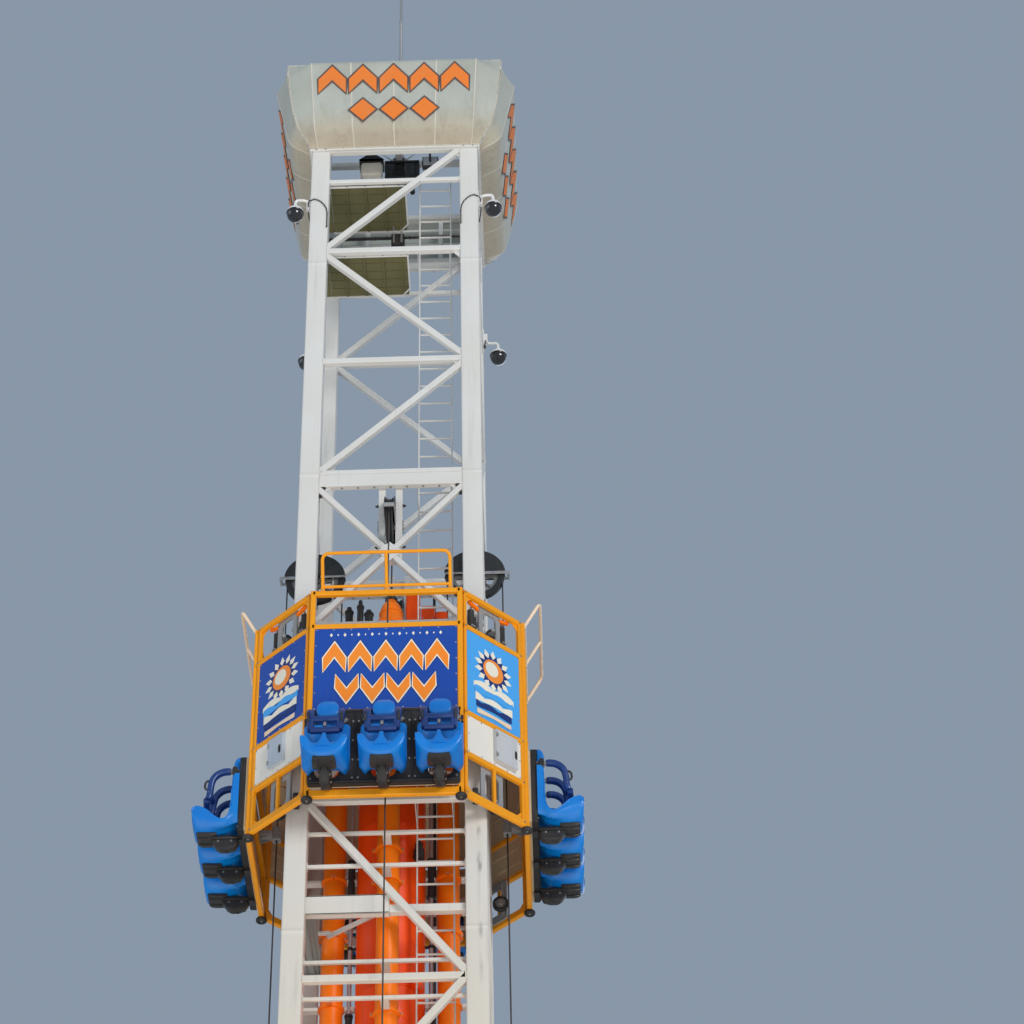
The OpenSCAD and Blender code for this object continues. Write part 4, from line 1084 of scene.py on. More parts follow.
# left beam as a channel with ribs, right beam lower, decks of ribbed plate
y0 = -T + 0.08
mb.box((-TI, y0, G - 1.16), (0.04, y0 + 0.012, G - 0.93), 0.002)
mb.box((-TI, y0, G - 1.16), (0.04, y0 + 0.09, G - 1.144), 0.003)
mb.box((-TI, y0, G - 0.946), (0.04, y0 + 0.09, G - 0.93), 0.003)
for i in range(7):
    x = -TI + 0.006 + (TI + 0.04 - 0.012) * i / 6
    mb.box((x - 0.005, y0 + 0.012, G - 1.144), (x + 0.005, y0 + 0.085, G - 0.946))
mb.box((0.04, y0, G - 1.15), (TI, y0 + 0.09, G - 1.06), 0.006)
mb.mat = 1
for x0, x1, yy0, yy1 in ((-TI, -0.34, y0 + 0.09, -0.79), (-TI, -0.745, -0.79, 0.30), (-T + 0.08, -TI, -TI, 0.30)):
    mb.box((x0, yy0, G - 1.078), (x1, yy1, G - 1.07), 0.001)
    n = max(2, int((x1 - x0) / 0.09))
    for i in range(n + 1):
        x = x0 + 0.004 + (x1 - x0 - 0.008) * i / n
        mb.box((x - 0.003, yy0, G - 1.10), (x + 0.003, yy1, G - 1.077))
    for y in (yy0 + 0.003, yy1 - 0.003):
        mb.box((x0, y - 0.003, G - 1.10), (x1, y + 0.003, G - 1.075))
mb.mat = 0
# strut that props the platform's beam
mb.bar((-0.64, -0.50, G - 1.13), (-0.14, -0.50, G - 0.87), 0.05, 0.03, (-0.26, 0, 0.5), 0.004)
mb.bar((-0.74, -0.50, G - 1.085), (-0.60, -0.50, G - 1.085), 0.03, 0.05, (0, 0, 1), 0.004)
mb.bar((-0.14, -0.50, G - 0.87), (-0.14, -CYL - 0.02, G - 0.87), 0.05, 0.03, (0, 0, 1), 0.004)
mb.mat = 2
for x in [-0.78 + 0.1 * i for i in range(7)]:
    mb.bolt((x, y0 + 0.012, G - 1.02), (0, 1, 0), 0.008, 0.008)
make("mid_platform_skin", mb, ["tower_white", "deck_grey", "bolt_zinc"], "tower", replaces="mid_platform")

mb = Mesh()
for x1, y1, z0 in ((0.15, -0.17, G + 9.81), (0.19, -0.27, G + 8.535)):
    # planks with gaps, on joists, with an edge angle round them
    mb.mat = 0
    yy0 = -T + 0.08
    n = 5
    for i in range(n):
        a = yy0 + (y1 - yy0) * i / n
        b = yy0 + (y1 - yy0) * (i + 1) / n - 0.006
        mb.box((-TI + 0.008, a, z0 + 0.004), (x1 - 0.03, b, z0 + 0.030), 0.003)
    mb.box((-T + 0.08, -TI, z0 + 0.004), (-TI + 0.004, y1, z0 + 0.030), 0.003)
    for x in (-0.62, -0.38, -0.14, x1 - 0.10):
        mb.box((x - 0.012, yy0, z0 - 0.012), (x + 0.012, y1 - 0.01, z0 + 0.004), 0.002)
    mb.mat = 1
    c = 0.12
    for p, q in (((x1 - 0.016, yy0, z0), (x1 - 0.016, y1 - c, z0)), ((x1 - c, y1, z0), (-TI, y1, z0)), ((x1 - 0.016, y1 - c, z0), (x1 - c, y1, z0))):
        d = (V(*q) - V(*p)).normalized()
        mb.bar(V(*p) + V(0, 0, 0.012), V(*q) + V(0, 0, 0.012), 0.05, 0.02, (0, 0, 1), 0.003)
    mb.box((-TI, yy0, z0 - 0.018), (x1, yy0 + 0.02, z0 + 0.03), 0.003)
make("upper_decks_skin", mb, ["deck_olive", "tower_white"], "tower", replaces="upper_decks")

# junction box hung from the upper deck's rear edge, with cables to the side trusses
mb = Mesh()
jz = G + 9.81
mb.box((-0.090, -0.158, jz - 0.205), (0.080, -0.060, jz - 0.030), 0.008)
mb.box((-0.094, -0.064, jz - 0.209), (0.084, -0.052, jz - 0.026), 0.004)
for x in (-0.060, 0.050):
    mb.rod((x, -0.11, jz - 0.225), (x, -0.11, jz - 0.203), 0.011, 12)

zb = jz - 0.062
mb.mat = 2
for s, ys in ((-1, (-0.127, -0.110, -0.093)), (1, (-0.119, -0.101))):
    for y in ys:     # cables tied under a flat bar
        mb.tube([V(s * (0.075 + (T - 0.165) * i / 20), y, zb - 0.0085 - 0.0012 * math.sin(1.9 * i + 40 * y)) for i in range(21)], 0.0075, 8)
    for i in range(6):
        x = s * (0.150 + 0.145 * i)
        mb.box((x - 0.004, -0.140, zb - 0.0185), (x + 0.004, -0.080, zb + 0.0055), 0.001)
mb.mat = 0
for s in (-1, 1):     # small end boxes on the side bars
    x0, x1 = s * (T - 0.128), s * (T - 0.0745)
    mb.box((min(x0, x1), -0.148, zb - 0.026), (max(x0, x1), -0.072, zb + 0.040), 0.004)
mb.mat = 1
for x in (-0.066, 0.034):     # two straps from the deck down the box
    mb.box((x, -0.260, jz - 0.005), (x + 0.022, -0.158, jz + 0.001), 0.001)
    mb.box((x, -0.162, jz - 0.190), (x + 0.022, -0.157, jz), 0.001)
for s in (-1, 1):     # the flat bars, each between the box and a plate on a side bar
    x0, x1 = s * 0.078, s * (T - 0.072)
    mb.box((min(x0, x1), -0.137, zb), (max(x0, x1), -0.083, zb + 0.004), 0.001)
    mb.box((min(x0, x1), -0.087, zb + 0.002), (max(x0, x1), -0.083, zb + 0.026), 0.001)
    x0, x1 = s * (T - 0.0755), s * (T - 0.069)
    mb.box((min(x0, x1), -0.150, zb - 0.020), (max(x0, x1), -0.070, jz + 0.056), 0.001)
    for y in (-0.135, -0.085):
        mb.bolt((s * (T - 0.0755), y, jz + 0.030), (-s, 0, 0), 0.006, 0.005)
make("deck_cabling", mb, ["black_paint", "galvanised", "rubber_black"], "tower")

# ---------------------------------------------------------------- crown
mb = Mesh()
C0, C1 = 1.40, 1.10
for k in range(4):
    mb.M = Z90[k]
    # wide ring at the top with ties to the columns, narrow ring on the columns' faces
    z = G + 11.56
    mb.bar((-C0, -C0 + 0.03, z), (C0 - 0.06, -C0 + 0.03, z), 0.06, 0.06, (0, 0, 1), 0.007)
    for s in (-1, 1):
        mb.bar((s * CC, -C0 + 0.05, z), (s * CC, -T, z), 0.08, 0.06, (1, 0, 0), 0.007)
        mb.box((s * CC - 0.07, -T - 0.012, z - 0.07), (s * CC + 0.07, -T, z + 0.07), 0.003)
        mb.mat = 1
        for a in (-0.052, 0.052):
            for b in (-0.052, 0.052):
                mb.bolt((s * CC + a, -T - 0.012, z + b), (0, -1, 0), 0.009, 0.008)
        mb.mat = 0
    mb.box((-C1, -C1, G + 10.39), (C1 - 0.03, -T, G + 10.45), 0.004)
    mb.mat = 1
    for s in (-1, 1):
        for a in (-0.06, 0.06):
            mb.bolt((s * CC + a, -C1, G + 10.405), (0, -1, 0), 0.009, 0.006)
    mb.mat = 0
    # sloping struts, and slats behind the cover
    for x in (-0.50, 0.50):
        mb.bar((x, -C1 + 0.016, G + 10.42), (x, -C0 + 0.045, G + 11.55), 0.06, 0.030, (1, 0, 0), 0.005)
    for i in range(5):
        t = (0.16 + 0.16 * i)
        z = G + 10.42 + 1.14 * t
        yb = -(C1 + 0.268 * t) + 0.004
        xe = C1 + 0.26 * t - 0.09
        mb.bar((-xe, yb, z), (xe, yb, z), 0.032, 0.014, (0, 0.24, 1), 0.003)
    for s in (-1, 1):
        mb.bar((s * CC, -C0 + 0.08, G + 11.50), (s * CC, -T, G + 10.98), 0.04, 0.04, (1, 0, 0), 0.005)
    mb.bar((-TI, -T + 0.06, G + 11.259), (TI, -T + 0.06, G + 11.259), 0.078, 0.08, (0, 0, 1), 0.008)
mb.M = ID
mb.bar((0, -T + 0.06, G + 11.259), (0, T - 0.06, G + 11.259), 0.078, 0.08, (0, 0, 1), 0.008)
mb.bar((-T + 0.06, 0, G + 11.259), (T - 0.06, 0, G + 11.259), 0.0775, 0.0795, (0, 0, 1), 0.008)
for k in range(4):
    mb.M = D45[k]
    mb.extr([(0.04, G + 11.23), (0.30, G + 11.23), (0.04, G + 11.29)], -0.004, 0.004, lambda u, v, w: V(u, w, v))
    # corner post from ring to ring
    mb.extr([(-1.538, G + 10.40), (-1.538, G + 10.43), (-1.882, G + 11.47), (-1.925, G + 11.54), (-1.925, G + 11.58), (-1.870, G + 11.58), (-1.516, G + 10.44), (-1.516, G + 10.40)], -0.015, 0.015, lambda u, v, w: V(w, u, v))
mb.M = ID
make("crown_frame_skin", mb, ["tower_white", "bolt_zinc"], "tower", replaces="crown_frame")

# a cover runs from its bottom edge at the columns, rolls under its face, leans out to the top and turns back
FACE = [(0.0, 1.106, 10.42), (0.20, 1.370, 10.56), (0.88, 1.576, 11.56), (1.0, 1.406, 11.70)]
EDGE = [(0.0, 1.090, 1.106, 10.42), (0.20, 1.247, 1.255, 10.66), (0.50, 1.322, 1.330, 10.95), (0.90, 1.392, 1.406, 11.52), (1.0, 1.392, 1.406, 11.70)]
WIDE = [(0.0, 1.00), (0.20, 1.03), (0.88, 1.08), (1.0, 1.10)]
SF = 0.78


def along(tab, v):
    for a, b in zip(tab, tab[1:]):
        if v <= b[0]:
            t = (v - a[0]) / (b[0] - a[0])
            return [p + (q - p) * t for p, q in zip(a[1:], b[1:])]
    return list(tab[-1][1:])


def eased(tab, v, w):
    w = min(w, v, 1 - v)
    rows = [along(tab, v + w * (i / 4 - 1)) for i in range(9)]
    return [sum(c) / 9 for c in zip(*rows)]


def cover_point(s, v, d, seed):
    """Point of a front cover: s across from -1 to 1, v up from 0 to 1, d outward, with slack and creases."""
    w = 0.075 if v < 0.5 else 0.03
    y, z = eased(FACE, v, w)
    y1, z1 = eased(FACE, min(1.0, v + 0.01), w)
    y0, z0 = eased(FACE, max(0.0, v - 0.01), w)
    ty, tz = y1 - y0, z1 - z0
    L = math.hypot(ty, tz)
    ny, nz = tz / L, -ty / L
    xf = along(WIDE, v)[0]
    if abs(s) <= SF:
        x, e = xf * s / SF, 0.0
    else:
        t = (abs(s) - SF) / (1 - SF)
        ex, ey, ez = eased(EDGE, v, 0.06)
        sg = 1 if s > 0 else -1
        x = sg * (xf + (ex - xf) * t)
        y, z = y + (ey - y) * t, z + (ez - z) * t
    edge = min(1.0, (1 - abs(s)) / 0.05, v / 0.05, (1 - v) / 0.05)
    for sx in (-1, 1):
        for dx, dz, cw in ((0.72, 0.30, 0.017), (0.50, 0.42, 0.014), (0.86, 0.14, 0.015)):
            x0, z0_ = sx * 1.02, 10.63
            ux, uz = -sx * dx, dz
            L = math.hypot(ux, uz)
            ux, uz = ux / L, uz / L
            t = (x - x0) * ux + (z - z0_) * uz
            n = abs(-(x - x0) * uz + (z - z0_) * ux)
            if 0 < t < 0.62:
                d -= 0.010 * math.exp(-(n / cw) ** 2) * math.sin(math.pi * t / 0.62) * edge
    d -= 0.006 * (0.5 + 0.5 * math.sin(11.0 * x + seed)) * max(0.0, 1 - abs(v - 0.16) / 0.16) * edge
    d -= 0.010 * math.sin(math.pi * min(1.0, max(0.0, (v - 0.2) / 0.66))) * math.cos(math.pi * min(1.0, abs(x) / 1.06) / 2) * edge
    for xs in (-0.405, 0.0, 0.405):
        d += 0.0028 * math.exp(-((s - xs) / 0.006) ** 4) * edge
    for xs in (-SF, SF):
        d += 0.0035 * math.exp(-((s - xs) / 0.006) ** 4) * edge
    return V(x, -(y + ny * d), G + z + nz * d)


ss_ = set(round(-SF + 2 * SF * i / 56, 4) for i in range(57))
for sg in (-1, 1):
    for i in range(11):
        ss_.add(round(sg * (SF + (1 - SF) * i / 10), 4))
for c in (-SF, -0.405, 0.0, 0.405, SF):
    for o in (-0.009, -0.006, -0.003, 0.003, 0.006, 0.009):
        ss_.add(round(c + o, 4))
ss_ = sorted(ss_)
vv_ = sorted(set([round(0.30 * i / 18, 4) for i in range(19)] + [round(0.30 + 0.52 * i / 22, 4) for i in range(23)] + [round(0.82 + 0.18 * i / 12, 4) for i in range(13)]))
for k in range(4):
    mb = Mesh()
    mb.M = Z90[k]
    nx, nz = len(ss_), len(vv_)
    vs = []
    for th in (0.0, -0.003):
        for v_ in vv_:
            for s_ in ss_:
                vs.append(cover_point(s_, v_, th, 1.3 * k))
    N = nx * nz
    fs, mats_ = [], []
    for j in range(nz - 1):
        for i in range(nx - 1):
            a, b, c, d = j * nx + i, j * nx + i + 1, (j + 1) * nx + i + 1, (j + 1) * nx + i
            fs.append((a, b, c, d))
            fs.append((N + d, N + c, N + b, N + a))
            sm = (ss_[i] + ss_[i + 1]) / 2
            seam = any(abs(sm - c_) < 0.0058 for c_ in (-SF, -0.405, 0.0, 0.405, SF))
            mats_ += [1 if seam else 0, 0]
    rim = [i for i in range(nx)] + [j * nx + nx - 1 for j in range(1, nz)] + [(nz - 1) * nx + i for i in range(nx - 2, -1, -1)] + [j * nx for j in range(nz - 2, 0, -1)]
    for i in range(len(rim)):
        a, b = rim[i], rim[(i + 1) % len(rim)]
        fs.append((b, a, N + a, N + b))
        mats_.append(0)
    mb.add(vs, fs)
    mb.mi = mats_
    o = make("crown_cover_" + SIDES[k], mb, ["cover_vinyl", "cover_seam"], "tower", replaces="crown_covers", angle=50)


def face_y(z):
    """Depth of a cover's flat face at height z over the ring."""
    return 1.370 + 0.206 * (z - 10.56)


def chevron(cx_, cz_, w, h, t, s):
    """An arrow-like chevron, s = 1 pointing up or -1 down."""
    p = [(-w / 2, -h / 2), (-w / 2, -h / 2 + t), (0, h / 2), (w / 2, -h / 2 + t), (w / 2, -h / 2), (0, h / 2 - t)]
    p = [(cx_ + u, cz_ + s * v) for u, v in p]
    return p if s > 0 else p[::-1]


def grow(poly, g):
    """Offsets a polygon outward by g, mitred."""
    n = len(poly)
    area = sum(poly[i][0] * poly[(i + 1) % n][1] - poly[(i + 1) % n][0] * poly[i][1] for i in range(n))
    sg = 1 if area > 0 else -1
    out = []
    for i in range(n):
        a, b, c = Vector(poly[i - 1]), Vector(poly[i]), Vector(poly[(i + 1) % n])
        d1, d2 = (b - a).normalized(), (c - b).normalized()
        n1, n2 = Vector((d1.y, -d1.x)) * sg, Vector((d2.y, -d2.x)) * sg
        mth = (n1 + n2)
        L = max(0.5, 1 + n1.dot(n2))
        q = b + mth * (g / L)
        out.append((q.x, q.y))
    return out


def star(cx_, cz_, r, ri, n, a0=math.pi / 2):
    return [(cx_ + (r if i % 2 == 0 else ri) * math.cos(a0 + math.pi * i / n), cz_ + (r if i % 2 == 0 else ri) * math.sin(a0 + math.pi * i / n)) for i in range(2 * n)]


# printed shapes and hem of each cover
for k in range(4):
    mb = Mesh()
    mb.M = Z90[k]
    shapes = [chevron(-0.80 + 0.40 * i, 11.275, 0.355, 0.42, 0.215, 1) for i in range(5)]
    shapes += [[(x - 0.165, 10.79), (x, 10.79 - 0.165), (x + 0.165, 10.79), (x, 10.79 + 0.165)] for x in (-0.40, 0.0, 0.40)]

    def lay(poly, lift):
        pts = []
        n = len(poly)
        for i in range(n):
            a, b = poly[i], poly[(i + 1) % n]
            for j in range(5):
                t = j / 5
                pts.append((a[0] + (b[0] - a[0]) * t, a[1] + (b[1] - a[1]) * t))
        mb.extr(pts, 0.0, 0.0016, lambda u, v, w: V(u, -(face_y(v) + lift) + w, G + v))
    for p in shapes:
        mb.mat = 1
        lay(grow(p, 0.024), 0.0044)
        mb.mat = 0
        lay(p, 0.0056)
    motif = make("crown_motif_" + SIDES[k], mb, ["print_orange", "print_dark"], "tower")
    mb = Mesh()
    mb.M = Z90[k]
    hem = [V(-1.09 + 2.18 * i / 36, -1.106, G + 10.42) for i in range(36)]
    up_ = [eased(EDGE, j / 26, 0.06) for j in range(27)]
    hem += [V(x, -y, G + z) for x, y, z in up_]
    hem += [V(1.392 - 2.784 * i / 40, -1.406, G + 11.70) for i in range(1, 40)]
    hem += [V(-x, -y, G + z) for x, y, z in up_[::-1][:-1]]
    mb.tube(hem, 0.0052, 8, closed=True, up=(0, 1, 0))
    # lashings round the hem
    mb.mat = 1
    for p in hem[1::3]:
        mb.rod(p + V(0, -0.006, -0.002), p + V(0, 0.016, 0.002), 0.0035, 6)
    band = make("crown_hem_" + SIDES[k], mb, ["cover_seam", "black_paint"], "tower")

mb = Mesh()
z = G + 11.298
mb.rev([(0.0, z), (0.11, z), (0.11, z + 0.018), (0.05, z + 0.030), (0.038, z + 0.032), (0.038, z + 0.05), (0.038, z + 0.43), (0.032, z + 0.45), (0.024, z + 0.455), (0.024, 33.1), (0.028, 33.12), (0.028, 33.22), (0.020, 33.24), (0.020, 34.96), (0.012, 35.0), (0.0, 35.0)], 24)
for i in range(4):
    a = math.radians(45 + 90 * i)
    mb.extr([(0.036, z + 0.02), (0.100, z + 0.02), (0.036, z + 0.20)], -0.004, 0.004, lambda u, v, w: V(u * math.cos(a) - w * math.sin(a), u * math.sin(a) + w * math.cos(a), v))
    mb.mat = 1
    b = math.radians(90 * i)
    mb.bolt((0.085 * math.cos(b), 0.085 * math.sin(b), z + 0.020), (0, 0, 1), 0.010, 0.010)
    mb.mat = 0
make("mast_skin", mb, ["galvanised", "bolt_zinc"], "tower", replaces="mast")

# ---------------------------------------------------------------- cameras
mb = Mesh()
md = Mesh()
for sx in (-1, 1):
    for sy in (-1, 1):
        S = Matrix.Diagonal((sx, sy, 1, 1))
        CZ = G + (9.28 if sy < 0 else 8.66)
        mb.M = md.M = S
        mb.mat = 0
        mb.box((T, CC - 0.06, CZ + 0.06), (T + 0.012, CC + 0.06, CZ + 0.36), 0.003)
        mb.extr([(p[0], p[1]) for p in rsect(0.08, 0.15, 0.012)], T + 0.012, T + 0.055, lambda u, v, w: V(w, CC + u, CZ + 0.225 + v))
        # swan-neck arm from the box out and down to the camera
        arm = [V(T + 0.04, CC + 0.03, CZ + 0.23), V(T + 0.05, CC + 0.075, CZ + 0.231), V(T + 0.085, CC + 0.09, CZ + 0.234), V(T + 0.14, CC + 0.09, CZ + 0.237), V(T + 0.168, CC + 0.09, CZ + 0.232), V(T + 0.184, CC + 0.09, CZ + 0.215), V(T + 0.19, CC + 0.09, CZ + 0.19), V(T + 0.19, CC + 0.09, CZ + 0.08)]
        mb.tube(arm, 0.020, 14)
        mb.rod((T + 0.19, CC + 0.09, CZ + 0.075), (T + 0.19, CC + 0.09, CZ + 0.135), 0.032, 20)
        mb.mat = 1
        for z in (0.09, 0.33):
            for y in (-0.04, 0.04):
                mb.bolt((T + 0.012, CC + y, CZ + z), (1, 0, 0), 0.008, 0.007)
        # clipped lead from the box round the column to its inner face
        mb.mat = 2
        lead = [V(T + 0.03, CC - 0.035, CZ + 0.17), V(T + 0.032, CC - 0.06, CZ + 0.13), V(T + 0.026, CC - 0.085, CZ + 0.08), V(T + 0.014, CC - 0.10, CZ + 0.02), V(T + 0.0085, CC - 0.105, CZ - 0.04)]
        mb.tube(lead, 0.0075, 8)
        lead = [V(T - 0.02, CC + 0.128, CZ + 0.20), V(T - 0.05, CC + 0.132, CZ + 0.215), V(T - 0.09, CC + 0.129, CZ + 0.205), V(T - 0.135, CC + 0.127, CZ + 0.17), V(T - 0.18, CC + 0.127, CZ + 0.11), V(T - 0.21, CC + 0.127, CZ + 0.04), V(T - 0.222, CC + 0.1265, CZ - 0.05), V(T - 0.222, CC + 0.1265, CZ - 0.30)]
        mb.tube([V(T + 0.03, CC + 0.045, CZ + 0.17), V(T + 0.028, CC + 0.09, CZ + 0.175), V(T + 0.012, CC + 0.125, CZ + 0.188)] + lead, 0.0075, 8)
        mb.mat = 1
        for p in (lead[2], lead[4], lead[6], lead[7] + V(0, 0, 0.04)):
            mb.box(p - V(0.012, 0.012, 0.006), p + V(0.012, 0.009, 0.006), 0.002)
        c = Matrix.Translation((T + 0.19, CC + 0.09, CZ))
        md.mat = 1
        md.rev([(0.0, 0.080), (0.034, 0.080), (0.040, 0.076), (0.052, 0.066), (0.085, 0.060), (0.100, 0.048), (0.106, 0.030), (0.106, 0.010), (0.0, 0.010)], 40, c)
        md.mat = 0
        md.rev([(0.0, 0.012), (0.109, 0.012), (0.112, 0.008), (0.112, -0.004), (0.108, -0.010), (0.0, -0.010)], 40, c)
        md.rev([(0.0, -0.008), (0.104, -0.008), (0.104, -0.022)] + [(0.104 * math.cos(math.radians(a)), -0.022 - 0.103 * math.sin(math.radians(a))) for a in range(6, 90, 7)] + [(0.0, -0.125)], 40, c)
        md.mat = 2
        a = md.M
        md.M = a @ c @ Matrix.Rotation(math.radians(35), 4, "X")
        md.rev([(0.0, -0.1105), (0.021, -0.1105), (0.027, -0.1075), (0.027, -0.09), (0.0, -0.09)], 24)
        md.M = a
make("camera_brackets_skin", mb, ["cap_white", "bolt_zinc", "rubber_black"], "tower", replaces="camera_brackets")
make("camera_domes_skin", md, ["dome_black", "cap_white", "disc_grey"], "tower", replaces="camera_domes")

# ---------------------------------------------------------------- hoist, floodlight, hooded box
mb = Mesh()
mb.box((-0.19, -0.12, G + 11.19), (0.27, 0.06, G + 11.22), 0.004)
mb.extr(rsect(0.18, 0.16, 0.02), -0.19, -0.06, lambda u, v, w: V(w, -0.03 + u, G + 11.09 + v))
for i in range(8):
    mb.extr(rsect(0.178, 0.158, 0.05), -0.055 + 0.014 * i, -0.047 + 0.014 * i, lambda u, v, w: V(w, -0.03 + u, G + 11.09 + v))
mb.rev([(0.0, -0.06), (0.055, -0.06), (0.055, 0.07), (0.0, 0.07)], 24, Matrix.Translation((0.0, -0.03, G + 11.09)) @ Matrix.Rotation(math.pi / 2, 4, "Y"))
mb.mat = 1
# rope drum with flanges
mb.rev([(0.0, 0.07), (0.085, 0.07), (0.088, 0.078), (0.060, 0.085)] + [(0.060 + 0.004 * (i % 2), 0.085 + 0.006 * i) for i in range(18)] + [(0.088, 0.195), (0.085, 0.203), (0.0, 0.203)], 32, Matrix.Translation((0.0, -0.03, G + 11.08)) @ Matrix.Rotation(math.pi / 2, 4, "Y"))
mb.mat = 0
mb.box((0.203, -0.10, G + 10.97), (0.27, 0.045, G + 11.18), 0.008)
mb.box((0.07, -0.115, G + 10.94), (0.205, -0.095, G + 11.17), 0.003)
mb.box((-0.19, -0.11, G + 10.90), (0.27, -0.09, G + 10.93), 0.004)
mb.box((-0.19, 0.03, G + 10.90), (0.27, 0.05, G + 10.93), 0.004)
for x in (-0.18, 0.26):
    mb.box((x - 0.008, -0.11, G + 10.90), (x + 0.008, -0.09, G + 11.20), 0.003)
    mb.box((x - 0.008, 0.03, G + 10.90), (x + 0.008, 0.05, G + 11.20), 0.003)
# two blocks that hang below, with their sheaves
for x0, x1, z0 in ((-0.12, -0.04, G + 10.60), (0.15, 0.20, G + 10.70)):
    xm = (x0 + x1) / 2
    for y in (-0.055, 0.030):
        mb.box((x0, y, z0 + 0.01), (x1, y + 0.008, G + 10.905), 0.003)
    mb.rev([(0.0, -0.030), (0.038, -0.030), (0.028, -0.010), (0.028, 0.010), (0.038, 0.030), (0.0, 0.030)], 20, Matrix.Translation((xm, -0.008, z0 + 0.05)) @ Matrix.Rotation(math.pi / 2, 4, "X"))
    mb.mat = 1
    mb.rod((xm, -0.06, z0 + 0.05), (xm, 0.044, z0 + 0.05), 0.009, 12)
    mb.rod((xm - 0.012, -0.01, z0 + 0.06), (xm - 0.012, -0.01, G + 11.0), 0.005, 8)
    mb.mat = 0
make("top_hoist_skin", mb, ["charcoal", "disc_grey"], "tower", replaces="top_hoist")

mb = Mesh()
z0, z1 = G + 10.56, G + 10.76
# housing with cooling fins on its back, a sloped glass on its front
mb.extr([(-0.618, z0), (-0.545, z0), (-0.525, z0 + 0.03), (-0.525, z1 - 0.03), (-0.545, z1), (-0.59, z1)], 0.335, 0.545, yz(0))
for i in range(9):
    x = 0.345 + 0.0238 * i
    mb.box((x - 0.003, -0.530, z0 + 0.035), (x + 0.003, -0.500, z1 - 0.035), 0.001)
mb.mat = 1
mb.extr([(-0.620, z0 + 0.012), (-0.616, z0 + 0.012), (-0.592, z1 - 0.012), (-0.596, z1 - 0.012)], 0.348, 0.532, yz(0))
mb.mat = 2
# yoke and the arm back to the roof frame
for x in (0.332, 0.548):
    s = 1 if x > 0.44 else -1
    mb.box((x - 0.003 * (1 - s), -0.585, z0 + 0.07), (x + 0.003 * (1 + s), -0.560, z0 + 0.13), 0.001)
mb.bar((0.44, -0.992, G + 10.66), (0.44, -0.61, G + 10.66), 0.028, 0.035, (1, 0, 0), 0.004)
mb.bar((0.44, -0.97, G + 10.44), (0.44, -0.97, G + 10.68), 0.03, 0.03, (1, 0, 0), 0.004)
make("floodlight_skin", mb, ["black_paint", "lamp_lens", "charcoal"], "tower", replaces="floodlight")

mb = Mesh()
mb.box((-0.465, -0.58, G + 10.47), (-0.205, -0.42, G + 10.70), 0.012)
mb.box((-0.445, -0.586, G + 10.50), (-0.225, -0.578, G + 10.68), 0.004)
mb.mat = 1
z = G + 10.70
mb.extr([(-0.495, z), (-0.175, z), (-0.175, z + 0.025), (-0.335, z + 0.16), (-0.495, z + 0.025)], -0.61, -0.60, lambda u, v, w: V(u, w, v))
b = [V(-0.495, -0.61, z), V(-0.175, -0.61, z), V(-0.175, -0.39, z), V(-0.495, -0.39, z)]
apex = V(-0.335, -0.50, z + 0.20)
mb.add([*b, *[p + V(0, 0, 0.03) for p in b], apex], [(3, 2, 1, 0), (0, 1, 5, 4), (1, 2, 6, 5), (2, 3, 7, 6), (3, 0, 4, 7), (4, 5, 8), (5, 6, 8), (6, 7, 8), (7, 4, 8)])
mb.mat = 2
mb.box((-0.48, -0.54, G + 9.84), (-0.455, -0.46, G + 10.70), 0.003)
mb.box((-0.215, -0.54, G + 9.84), (-0.19, -0.46, G + 10.70), 0.003)
for x in (-0.467, -0.203):
    mb.box((x - 0.03, -0.56, G + 9.838), (x + 0.03, -0.44, G + 9.846), 0.002)
make("hooded_box", mb, ["panel_white", "charcoal", "tower_white"], "tower")

# ---------------------------------------------------------------- valve boxes, fittings and hose on the tank's head
mb = Mesh()
zt = G + 3.40
# red valve boxes on a bracket frame, lids with screws
for x0, x1, zb, zh in ((0.135, 0.30, zt, 0.44), (0.315, 0.47, zt + 0.02, 0.22), (0.48, 0.62, zt, 0.15)):
    mb.mat = 0
    mb.box((x0, -0.06, zb), (x1, 0.07, zb + zh), 0.010)
    mb.box((x0 + 0.010, -0.070, zb + 0.012), (x1 - 0.010, -0.058, zb + zh - 0.012), 0.006)
    if zh > 0.3:
        mb.box((x0 - 0.004, -0.064, zb + 0.20), (x1 + 0.004, 0.072, zb + 0.212), 0.002)
    mb.mat = 1
    for x in (x0 + 0.022, x1 - 0.022):
        for z in (zb + 0.028, zb + zh - 0.028):
            mb.bolt((x, -0.070, z), (0, -1, 0), 0.006, 0.005)
mb.mat = 2
mb.box((0.10, -0.05, zt - 0.05), (0.66, 0.06, zt), 0.005)
for x in (0.12, 0.63):
    mb.box((x - 0.02, -0.03, G + 2.67), (x + 0.02, 0.03, zt - 0.045), 0.004)
mb.box((0.12, -0.03, G + 2.64), (TI, 0.03, G + 2.68), 0.004)
mb.rod((TI - 0.004, 0, G + 2.66), (T - 0.08, 0, G + 2.66), 0.02, 12)
make("valve_boxes", mb, ["tank_red", "bolt_zinc", "tower_white"], "tower")

